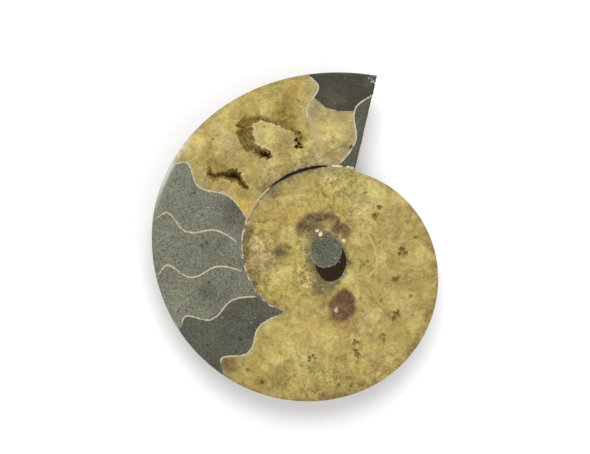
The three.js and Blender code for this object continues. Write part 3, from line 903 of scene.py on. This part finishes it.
# Dirt reaches less far from the crack on its outer side, and some lies thinly further off.
outer_side = np.where(top_radius < top_inner, 0.0, 0.35)
dirt = [
    1 - smoothstep(0.4, 1.5, beside_crack + outer_side + 0.35 * ripples(top, 0.9, 51)),
    1 - smoothstep(0.3, 1.5, beside_seam + 0.4 * ripples(top, 1.2, 52)),
    0.45 * (1 - smoothstep(0.8, 3.6, beside_crack + 0.6 * ripples(top, 1.6, 55))),
]
marks["dirt"] = np.max(dirt, 0)
# Painted highlight: the rim by wall C is painted pale where its polish catches the light.
marks["worn"] = (1 - smoothstep(0.0, 1.5, off_rim)) * np.exp(-((top_angle - RIM_HIGHLIGHT_AT) / RIM_HIGHLIGHT_SPREAD)**2)
lower_rim = smoothstep(255, 275, top_angle) * (1 - smoothstep(350, 375, top_angle))
rim_width = 0.9 + 1.5 * lower_rim
marks["rim"] = 1 - smoothstep(0.05, rim_width, off_rim + 0.35 * ripples(top, 1.6, 53))
# How deep the face lies in a pocket or pit. It paints shade there and makes the face rougher.
marks["hollow"] = np.maximum(pocket_depth(top), 1.6 * pit_depth) / 4
# A pale band along the island's edge where the valley is deep: the cream tips of its crystals, and partly a
# painted highlight on them.
outward, (_, floor, *_) = off_island(top)
marks["fringe"] = np.exp(-((outward + 0.3) / 0.5)**2) * smoothstep(1.2, 2.0, floor)
marks["tone"] = tone
for name, values in marks.items():
    everywhere = np.zeros(len(points))
    everywhere[on_top] = values
    stone_mesh.attributes.new(name, "FLOAT", "POINT").data.foreach_set("value", everywhere)
for name, values in {"back": flank_back, "across": flank_across}.items():
    everywhere = np.zeros(len(points))
    everywhere[:starts[1]] = values.ravel()
    everywhere[starts[1]:starts[3]] = 1.0 if name == "across" else 0.0
    stone_mesh.attributes.new(name, "FLOAT", "POINT").data.foreach_set("value", everywhere)

# The face takes most of the stone's own texture map. The flank is unrolled on it in two strips, and
# the flank's middle and the break lie beside them. Each has a place on the map and a scale, which is
# the share of the map that a millimetre takes.
FACE_PLACE, FACE_SCALE = (0.012, 0.275), 0.0101
MIDDLE_PLACE, MIDDLE_SCALE = (0.945, 0.87), 0.0057
BREAK_PLACE, BREAK_SCALE = (0.63, 0.9), 0.0063
corner_points = np.concatenate([np.ravel(polygon) for polygon in polygons])
corner_counts = np.array([len(polygon) for polygon in polygons])
corner_polygons = np.repeat(np.arange(len(polygons)), corner_counts)
polygon_row = np.repeat(np.concatenate([row, np.zeros(len(polygons) - len(row), int)]), corner_counts)
on_map = (points[corner_points, :2] - points[:, :2].min(0)) * FACE_SCALE + FACE_PLACE

is_band = corner_polygons < len(band_faces)
half_way = ROWS // 2
first_strip = is_band & (polygon_row < half_way)
second_strip = is_band & ~first_strip
corner_row = corner_points // COLUMNS
corner_row = np.where(is_band & (corner_points == COLUMNS - 1) & (polygon_row > 1), ROWS - 1, corner_row)
down_flank = corner_points % COLUMNS / (COLUMNS - 1)
strip_one = np.c_[0.01 + 0.98 * corner_row / half_way, 0.01 + 0.245 * down_flank]
strip_two = np.c_[0.665 + 0.325 * down_flank, 0.275 + 0.53 * (corner_row - half_way) / (ROWS - 1 - half_way)]
on_map[first_strip] = strip_one[first_strip]
on_map[second_strip] = strip_two[second_strip]

middle_end = len(band_faces) + len(disc_faces) + len(middle_faces)
is_middle = (corner_polygons >= len(band_faces)) & (corner_polygons < middle_end)
on_map[is_middle] = points[corner_points[is_middle], :2] * MIDDLE_SCALE + MIDDLE_PLACE
is_break = corner_polygons >= len(polygons) - len(break_triangles)
on_map[is_break] = on_break_plane(points[corner_points[is_break]]) * BREAK_SCALE + BREAK_PLACE
stone_mesh.uv_layers.new(name="OFBake").data.foreach_set("uv", on_map.ravel())

kind_names = [
    "calcite", "mud", "dark_mud", "core", "core_ring", "wall", "seam_shell", "lost_wall", "old_wall",
    "grey_rim", "pale_shell", "crack", "shell", "broken_mud",
]
stone_mesh.polygons.foreach_set("material_index", [kind_names.index(kind) for kind in kinds])

shape = bmesh.new()
shape.from_mesh(stone_mesh)
bmesh.ops.delete(shape, geom=[v for v in shape.verts if not v.link_faces], context="VERTS")
bmesh.ops.recalc_face_normals(shape, faces=shape.faces)
shape.to_mesh(stone_mesh)
shape.free()
stone_mesh.shade_smooth()
stone_mesh.set_sharp_from_angle(angle=math.radians(48))


# ---- The calcite ----
# Sugary yellow calcite that grew in the empty chambers, polished flat. It is a mass of small clear
# and cloudy crystals, stained by iron in places, with painted shade that turns it brown where it slopes into
# a pocket.
class Shade:
    """A socket of a material. Sums on it add Math nodes, and add() brings in any other node."""

    def __init__(self, tree, socket=None):
        self.tree = tree
        self.socket = socket

    def add(self, kind, settings=None, sockets=None, output=None):
        node = self.tree.nodes.new("ShaderNode" + kind)
        for name, value in (settings or {}).items():
            setattr(node, name, value)
        for name, value in (sockets or {}).items():
            usable = [s for s in node.inputs if s.enabled]
            socket = usable[name] if isinstance(name, int) else next(s for s in usable if s.name == name)
            if isinstance(value, Shade):
                self.tree.links.new(value.socket, socket)
            else:
                socket.default_value = value[:3] if socket.type == "VECTOR" else value
        usable = [s for s in node.outputs if s.enabled]
        return Shade(self.tree, next((s for s in usable if s.name == output), usable[0]))

    def reckon(self, operation, *values):
        """A Math node on these numbers and shades."""
        return self.add("Math", {"operation": operation}, dict(enumerate(values)))

    def __add__(self, other):
        return self.reckon("ADD", self, other)

    def __sub__(self, other):
        return self.reckon("SUBTRACT", self, other)

    def __rsub__(self, other):
        return self.reckon("SUBTRACT", other, self)

    def __mul__(self, other):
        return self.reckon("MULTIPLY", self, other)

    __radd__ = __add__
    __rmul__ = __mul__

    def sine(self):
        return self.reckon("SINE", self)

    def ramp(self, start, end, low=0.0, high=1.0):
        """Goes smoothly from low to high as this value goes from start to end."""
        sockets = {"Value": self, "From Min": start, "From Max": end, "To Min": low, "To Max": high}
        return self.add("MapRange", {"interpolation_type": "SMOOTHSTEP"}, sockets)

    def blend(self, colour, other):
        """Mixes two colours, with this value as the share of the other one."""
        return self.add("Mix", {"data_type": "RGBA"}, {"Factor": self, "A": colour, "B": other})

    def times(self, colour):
        """Makes a colour that many times as bright."""
        return self.add("VectorMath", {"operation": "SCALE"}, {"Vector": colour, "Scale": self})


def rgb(red, green, blue):
    """A colour in linear light."""
    return (red, green, blue, 1.0)


def place_on(paint, stretch=(1, 1, 1)):
    """The place on the piece in metres, squeezed or drawn out along the axes."""
    place = paint.add("TexCoord", output="Object")
    return place.add("VectorMath", {"operation": "MULTIPLY"}, {0: place, 1: stretch})


def cloud(paint, size, detail=2.0, roughness=0.5, seed=0.0, twist=0.0, stretch=(1, 1, 1)):
    """Soft noise from about 0.25 to 0.75, with patches of that size in millimetres."""
    sockets = {"Vector": place_on(paint, stretch), "W": seed, "Scale": 1000 / size, "Detail": detail,
               "Roughness": roughness, "Distortion": twist}
    return paint.add("TexNoise", {"noise_dimensions": "4D"}, sockets)


def grains(paint, size, feature="F1", output="Color", warp=0.0):
    """A mass of grains of that size: each one's own random shade, or a distance within it."""
    place = place_on(paint)
    if warp:
        bend = paint.add("TexNoise", {}, {"Vector": place, "Scale": 700 / size}, "Color")
        bend = bend.add("VectorMath", {"operation": "SCALE"}, {"Vector": bend, "Scale": warp * size * MM})
        place = place.add("VectorMath", {"operation": "ADD"}, {0: place, 1: bend})
    cell = paint.add("TexVoronoi", {"feature": feature}, {"Vector": place, "Scale": 1000 / size}, output)
    return cell.add("SeparateColor", {}, {"Color": cell}, "Red") if output == "Color" else cell


def mark(paint, name):
    """One of the marks kept on the mesh."""
    return paint.add("Attribute", {"attribute_name": name}, output="Fac")


def new_finish(name, **constants):
    """A material with these constant settings, and the brush that adds nodes to it."""
    material = bpy.data.materials.new(name)
    material.use_nodes = True
    shader = material.node_tree.nodes["Principled BSDF"]
    for setting, value in constants.items():
        shader.inputs[setting.replace("_", " ")].default_value = value
    return material, Shade(material.node_tree)


def finish(material, colour, roughness, height, distance):
    """Feeds the colour, the roughness and a bump of that height in millimetres to the shader."""
    shader = material.node_tree.nodes["Principled BSDF"]
    bump = height.add("Bump", {}, {"Height": height, "Distance": distance * MM, "Strength": 1.0})
    for name, value in {"Base Color": colour, "Roughness": roughness, "Normal": bump}.items():
        material.node_tree.links.new(value.socket, shader.inputs[name])


TAN, OLIVE, SAGE = rgb(0.340, 0.250, 0.070), rgb(0.325, 0.258, 0.060), rgb(0.300, 0.268, 0.080)
PALE, BROWN, HONEY = rgb(0.49, 0.415, 0.155), rgb(0.215, 0.140, 0.034), rgb(0.43, 0.300, 0.060)
IRON, MURKY = rgb(0.086, 0.046, 0.015), rgb(0.080, 0.068, 0.028)
NODULE_BROWN, ROSY = rgb(0.078, 0.034, 0.006), rgb(0.150, 0.076, 0.030)
AMBER_SLOPE_SHADE, DEEP_SHADE_BROWN = rgb(0.290, 0.190, 0.042), rgb(0.115, 0.074, 0.006)
GREYISH, AMBER = rgb(0.225, 0.185, 0.085), rgb(0.230, 0.130, 0.024)
LINING, DIRT = rgb(0.310, 0.262, 0.120), rgb(0.100, 0.067, 0.026)
BROWN_RIM, RIM_HIGHLIGHT_PALE = rgb(0.185, 0.115, 0.038), rgb(0.50, 0.50, 0.42)
DOT, SPECK = rgb(0.13, 0.085, 0.020), rgb(0.070, 0.048, 0.018)
FLECK, CRYSTAL_TIP_HIGHLIGHT, HIGHLIGHT_SPECK = rgb(0.60, 0.49, 0.27), rgb(0.54, 0.46, 0.24), rgb(0.62, 0.52, 0.37)


def calcite_finish(name):
    """Polished calcite, which a mark on the mesh makes rough where it is hollowed out, and painted darker
    there as shade.
    """
    material, paint = new_finish(name, Subsurface_Weight=0.12, Subsurface_Scale=0.0006,
                                 Subsurface_Radius=(1.0, 0.75, 0.3), IOR=1.5, Specular_IOR_Level=0.3)
    drift = cloud(paint, 9, 2, 0.5, seed=3)
    patches = cloud(paint, 5.5, 2, 0.45, seed=1, twist=0.8)
    mottle = cloud(paint, 2.2, 5, 0.55, seed=2, twist=1.4)
    fibre = cloud(paint, 0.85, 3, 0.6, seed=4, twist=1.6, stretch=(0.75, 1.1, 1))
    sugar = cloud(paint, 0.36, 2, 0.7, seed=7)
    cells = grains(paint, 0.95, "F1", "Distance", warp=0.6)
    contrast = 1.08 + mark(paint, "mottled") * 0.85
    granular = mark(paint, "granular")
    colour = drift.ramp(0.4, 0.6).blend(TAN, OLIVE)
    colour = patches.ramp(0.5, 0.7, 0, 0.55).blend(colour, PALE)
    colour = patches.ramp(0.48, 0.3, 0, 0.5).blend(colour, BROWN)
    colour = (mark(paint, "sage") * 0.7).blend(colour, SAGE)
    tints = [
        ("milky", (0.3, 0.6, 0.5, 0.9), PALE), ("honey", (0.25, 0.65, 0.6, 0.9), HONEY),
        ("greyish", (0.3, 0.6, 0.8, 0.95), GREYISH), ("amber", (0.3, 0.6, 1.0, 0.85), AMBER),
    ]
    for patch, strength, tint in tints:
        colour = (mark(paint, patch) * mottle.ramp(*strength)).blend(colour, tint)
    colour = (mark(paint, "lining") * fibre.ramp(0.3, 0.65, 0.2, 0.8)).blend(colour, LINING)
    colour = (mark(paint, "dirt") * mottle.ramp(0.25, 0.6, 0.95, 0.5)).blend(colour, DIRT)
    colour = (mark(paint, "rim") * mottle.ramp(0.65, 0.35, 0.2, 0.8)).blend(colour, BROWN_RIM)
    # Painted highlight on the rim by wall C.
    colour = (mark(paint, "worn") * 0.8).blend(colour, RIM_HIGHLIGHT_PALE)
    murky = mark(paint, "murky").ramp(0.0, 0.9) * mottle.ramp(0.3, 0.6, 0.95, 0.7)
    colour = murky.blend(colour, MURKY)
    stained = mark(paint, "stain").ramp(0.0, 0.85) * mottle.ramp(0.3, 0.65, 0.95, 0.85)
    colour = stained.blend(colour, IRON)
    shade = 1 + ((mottle - 0.5) * 1.3 + (fibre - 0.5) * 0.8 + (sugar - 0.5) * 0.7) * contrast
    shade = shade + (0.4 - cells) * granular * 0.45 + mark(paint, "milky") * 0.12
    colour = shade.times(colour)
    dots = grains(paint, 1.4, "F1", "Distance").ramp(0.22, 0.1) * grains(paint, 1.4).ramp(0.72, 0.77)
    colour = (dots * fibre.ramp(0.4, 0.6) * 0.4).blend(colour, DOT)
    specks = cloud(paint, 0.6, 3, 0.65, seed=13, twist=0.6).ramp(0.53, 0.42)
    specks = specks * mark(paint, "specked").ramp(0.0, 0.8)
    colour = (specks * 0.75).blend(colour, SPECK)
    nodule = (mark(paint, "rosy") * mottle.ramp(0.35, 0.6, 0.6, 1.0)).blend(NODULE_BROWN, ROSY)
    nodule = fibre.ramp(0.3, 0.7, 0.8, 1.2).times(nodule)
    colour = (mark(paint, "nodule").ramp(0.1, 0.75) * 0.97).blend(colour, nodule)
    veins = grains(paint, 1.0, "DISTANCE_TO_EDGE", "Distance", warp=0.5).ramp(0.09, 0.0)
    veins = veins * fibre.ramp(0.42, 0.56)
    colour = (veins * mark(paint, "flecks").ramp(0.1, 0.8, 0.15, 1.0)).blend(colour, FLECK)
    # Painted shade: the deeper the face lies in a pocket or pit, the more it is painted amber and then dark
    # brown.
    hollow = mark(paint, "hollow")
    colour = (hollow.ramp(0.04, 0.45) * 0.9).blend(colour, shade.times(AMBER_SLOPE_SHADE))
    colour = (hollow.ramp(0.45, 0.95) * 0.95).blend(colour, DEEP_SHADE_BROWN)
    # Cream crystal tips along the island's edge, partly a painted highlight.
    lit_crystal_tips = mark(paint, "fringe") * fibre.ramp(0.4, 0.6, 0.1, 0.7)
    colour = lit_crystal_tips.blend(colour, CRYSTAL_TIP_HIGHLIGHT)
    # Painted highlights: pale specks of reflected light.
    colour = mark(paint, "glints").ramp(0.3, 0.85).blend(colour, HIGHLIGHT_SPECK)
    roughness = mottle.ramp(0.3, 0.7, 0.3, 0.5) + hollow.ramp(0.05, 0.4, 0, 0.15)
    finish(material, colour, roughness, fibre * 0.5 + mottle * 0.8 - cells * granular * 0.5, 0.05)
    return material


calcite = calcite_finish("sugary_calcite")

# ---- The mud ----
# Grey mud stone that filled the open chambers while the shell lay on the sea floor. It takes a dull
# polish and is speckled with fine sand.
BROWNISH_MUD, PALE_FLAKE, MUD_HIGHLIGHT_PALE = rgb(0.105, 0.084, 0.058), rgb(0.34, 0.34, 0.27), rgb(0.519, 0.534, 0.487)


def mud_finish(name, light, dark, least_roughness, grit=1.0, height=0.02, gloss=0.25):
    """Mud between two shades, as the tone kept on the mesh says. Grit is how speckled it is."""
    material, paint = new_finish(name, IOR=1.5, Specular_IOR_Level=gloss)
    speckle = cloud(paint, 0.27, 3, 0.7, seed=5)
    sand = grains(paint, 0.22)
    patches = cloud(paint, 4.0, 4, 0.55, seed=6, twist=0.4)
    flakes = grains(paint, 1.0, output="Distance", warp=0.6).ramp(0.22, 0.06)
    flakes = flakes * grains(paint, 1.0, warp=0.6).ramp(0.66, 0.72) * speckle.ramp(0.35, 0.5)
    holes = grains(paint, 1.5, output="Distance", warp=0.6).ramp(0.22, 0.08)
    holes = holes * grains(paint, 1.5, warp=0.6).ramp(0.3, 0.22)
    colour = mark(paint, "tone").blend(dark, light)
    colour = (mark(paint, "brownish") * 0.5).blend(colour, BROWNISH_MUD)
    shade = 1 + (speckle - 0.5) * (1.5 * grit) + (sand - 0.5) * (0.8 * grit) + (patches - 0.5) * 0.8
    colour = shade.times(colour)
    colour = (flakes * min(0.75, 0.6 * grit)).blend(colour, PALE_FLAKE)
    colour = (holes * min(0.75, 0.7 * grit)).blend(colour, dark)
    # Painted highlight on the rim by wall C.
    worn = mark(paint, "worn").ramp(0.02, 0.8) * speckle.ramp(0.2, 0.6, 0.75, 1.0)
    colour = worn.blend(colour, MUD_HIGHLIGHT_PALE)
    roughness = speckle.ramp(0.3, 0.7, least_roughness, least_roughness + 0.18)
    finish(material, colour, roughness, speckle + sand * 0.3, height)
    return material


mud = mud_finish("polished_mud", rgb(0.150, 0.154, 0.108), rgb(0.018, 0.017, 0.009), 0.32)
dark_mud = mud_finish("dark_mud", rgb(0.150, 0.148, 0.104), rgb(0.014, 0.013, 0.004), 0.32, 0.7)
core_mud = mud_finish("core_mud", rgb(0.100, 0.104, 0.070), rgb(0.070, 0.074, 0.046), 0.36, 1.3)
broken_mud = mud_finish("broken_mud", rgb(0.13, 0.126, 0.09), rgb(0.105, 0.10, 0.07), 0.72, 0.7, 0.08)
core_calcite = mud_finish(
    "core_calcite", rgb(0.024, 0.012, 0.004), rgb(0.020, 0.009, 0.003), 0.3, 0.9, gloss=0.1)
# The inside of the open crack is a dark brown.
crack_inside = mud_finish("crack_inside", rgb(0.070, 0.048, 0.030), rgb(0.055, 0.036, 0.020), 0.75, 1.8, 0.06)

# ---- The chamber walls' shell ----
# The shell's own cream carbonate, thin and hard, which shows as fine pale lines on the sawn face.
# Parts of it have dissolved, so the lines are broken and stained.


def shell_line_finish(name, pale, worn_through, kept):
    """Kept is the share of the line that is still whole."""
    material, paint = new_finish(name, IOR=1.55, Specular_IOR_Level=0.4)
    wear = cloud(paint, 1.1, 3, 0.6, seed=8)
    colour = wear.ramp(0.3 + 0.4 * kept, 0.42 + 0.4 * kept).blend(pale, worn_through)
    colour = cloud(paint, 0.4, 2, 0.6, seed=12).ramp(0.3, 0.7, 0.75, 1.15).times(colour)
    finish(material, colour, wear.ramp(0.3, 0.7, 0.25, 0.4), wear, 0.02)
    return material


wall_shell = shell_line_finish("wall_shell", rgb(0.440, 0.395, 0.260), rgb(0.250, 0.210, 0.120), 0.66)
seam_shell = shell_line_finish("seam_shell", rgb(0.480, 0.345, 0.170), rgb(0.260, 0.175, 0.070), 0.7)
lost_wall = shell_line_finish("lost_wall", rgb(0.470, 0.365, 0.185), rgb(0.330, 0.240, 0.090), 0.55)
old_wall = shell_line_finish("old_wall", rgb(0.456, 0.409, 0.291), rgb(0.102, 0.071, 0.035), 0.42)
grey_rim = shell_line_finish("grey_rim", rgb(0.212, 0.212, 0.149), rgb(0.079, 0.071, 0.043), 0.5)
pale_shell = shell_line_finish("pale_shell", rgb(0.613, 0.534, 0.440), rgb(0.283, 0.189, 0.102), 0.62)

# ---- The outer shell ----
# What is left of the shell on the hidden flank: thin, tan to rusty brown, with growth ribs and the
# wavy dark lines where the chamber walls met it.
SUTURE_EVERY = 18.4  # degrees from one chamber wall to the next
GROWTH_LINES = 2.1  # radians of the lines' wave for each degree back
RUSTY, TAN_SHELL, CREAM_SHELL = rgb(0.134, 0.075, 0.031), rgb(0.283, 0.204, 0.106), rgb(0.409, 0.354, 0.252)
GROWTH_BROWN, GREY_TAN = rgb(0.094, 0.053, 0.024), rgb(0.330, 0.283, 0.197)
GRIT_BROWN, SUTURE_BROWN = rgb(0.055, 0.035, 0.020), rgb(0.039, 0.024, 0.014)


def outer_shell_finish():
    """The shell on the flank, with its lines placed by the marks kept on the mesh."""
    material, paint = new_finish("outer_shell", IOR=1.53)
    back = mark(paint, "back")
    across = mark(paint, "across")
    patches = cloud(paint, 9, 5, 0.6, seed=9, twist=0.8)
    mottle = cloud(paint, 1.8, 5, 0.65, seed=10)
    grit = cloud(paint, 0.5, 2, 0.6, seed=11)
    bend = (across * (math.pi * RIB_WAVES)).sine() * RIB_BEND
    growth = ((back + bend - across * RIB_LEAN) * GROWTH_LINES).sine()
    colour = patches.ramp(0.36, 0.62).blend(RUSTY, TAN_SHELL)
    colour = patches.ramp(0.58, 0.74, 0, 0.75).blend(colour, CREAM_SHELL)
    colour = (growth.ramp(-1, 1, 0, 0.3) * mottle.ramp(0.3, 0.6)).blend(colour, GROWTH_BROWN)
    colour = mottle.ramp(0.55, 0.75, 0, 0.5).blend(colour, GREY_TAN)
    colour = grit.ramp(0.45, 0.3, 0, 0.35).blend(colour, GRIT_BROWN)
    folds = (across * 19).sine() * 2.6 + (across * 57 + 1).sine() * 1.1 + (across * 131).sine() * 0.5
    at = back + folds + mottle * 1.2
    to_wall = at.reckon("PINGPONG", at, SUTURE_EVERY / 2)
    line = to_wall.ramp(0.5, 0.22) * across.ramp(0.8, 0.62) * mottle.ramp(0.3, 0.5, 0.35, 0.9)
    colour = line.blend(colour, SUTURE_BROWN)
    roughness = mottle.ramp(0.3, 0.7, 0.3, 0.55)
    finish(material, colour, roughness, growth * 0.25 + mottle + grit * 0.4 - line * 0.5, 0.12)
    return material


outer_shell = outer_shell_finish()
finishes = {
    "calcite": calcite, "mud": mud, "dark_mud": dark_mud, "core": core_mud, "core_ring": core_calcite,
    "wall": wall_shell, "seam_shell": seam_shell, "lost_wall": lost_wall, "old_wall": old_wall,
    "grey_rim": grey_rim, "pale_shell": pale_shell, "crack": crack_inside, "shell": outer_shell,
    "broken_mud": broken_mud,
}
for name in kind_names:
    stone_mesh.materials.append(finishes[name])
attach(stone, "root")
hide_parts("ammonite_half")

# ---- The crystals in the pockets ----
# Small pointed calcite crystals line the two pockets. Each grew out from the pocket's wall, where
# nothing but water filled the space, and those that stood too high were ground off with the face.
CRYSTAL_TRIES, TRIES_SPREAD = 16000, 1.15
CRYSTAL_LENGTHS, CRYSTAL_WIDTHS, CRYSTAL_LEAN = (0.28, 0.75), (0.26, 0.4), 0.28
CRYSTAL_SUNK = 0.35  # share of a crystal's length that stays in the wall
GROUND_OFF = 0.02
SIDES = 6

spot = pocket_line[rng.integers(0, len(pocket_line), CRYSTAL_TRIES)]
spot = spot + rng.normal(0, TRIES_SPREAD, (CRYSTAL_TRIES, 2))
spot = spot[inside(spot, outline)]
depth = relief(spot)
beside = 0.08
steep_x = (relief(spot + (beside, 0)) - relief(spot - (beside, 0))) / (2 * beside)
steep_y = (relief(spot + (0, beside)) - relief(spot - (0, beside))) / (2 * beside)
wall_tilt = np.hypot(steep_x, steep_y)
length = rng.uniform(*CRYSTAL_LENGTHS, len(spot)) * np.clip(0.55 + 0.2 * depth, 0.5, 1)
grows = (pocket_depth(spot) > 0.3) & ((depth > 1.3) | (wall_tilt > 1.5)) & (length * 0.7 < depth + 0.3)
spot, depth, length = spot[grows], depth[grows], length[grows]
steep_x, steep_y = steep_x[grows], steep_y[grows]

crystal_points, crystal_faces = [], []
for (x, y), deep, long, slope_x, slope_y in zip(spot, depth, length, steep_x, steep_y):
    limit = max(1.0, math.hypot(slope_x, slope_y) / 3.0)
    growing = Vector((slope_x / limit, slope_y / limit, 1.0)).normalized()
    growing = (growing + Vector(rng.normal(0, CRYSTAL_LEAN, 3))).normalized()
    side = growing.orthogonal().normalized()
    other = growing.cross(side)
    foot = Vector((x, y, -deep)) - growing * long * CRYSTAL_SUNK
    width = long * rng.uniform(*CRYSTAL_WIDTHS)
    first = len(crystal_points)
    crystal_points.append(foot)
    for i in range(SIDES):
        turn = 2 * math.pi * (i + rng.uniform(-0.1, 0.1)) / SIDES
        raised = 0.55 + (0.12 if i % 2 else -0.04)
        out = side * math.cos(turn) + other * math.sin(turn)
        crystal_points.append(foot + out * width + growing * long * raised)
    crystal_points.append(foot + growing * long)
    for i in range(SIDES):
        a, b = first + 1 + i, first + 1 + (i + 1) % SIDES
        crystal_faces += [(first, b, a), (first + 1 + SIDES, a, b)]

crystal_mesh = bpy.data.meshes.new("pocket_crystals")
crystal_xyz = np.array(crystal_points)
crystal_xyz[:, 2] = np.minimum(crystal_xyz[:, 2], -GROUND_OFF)
crystal_mesh.from_pydata((crystal_xyz * MM + axis_place).tolist(), [], crystal_faces)
# Only the depth mark is set on the crystals. It paints them darker, as shade, the deeper they stand.
for name in marks:
    values = -0.8 * crystal_xyz[:, 2] / 4 if name == "hollow" else np.zeros(len(crystal_xyz))
    crystal_mesh.attributes.new(name, "FLOAT", "POINT").data.foreach_set("value", values)
crystal_mesh.materials.append(calcite_finish("pocket_calcite"))
crystals = bpy.data.objects.new("pocket_crystals", crystal_mesh)
scene.collection.objects.link(crystals)
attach(crystals, "root")
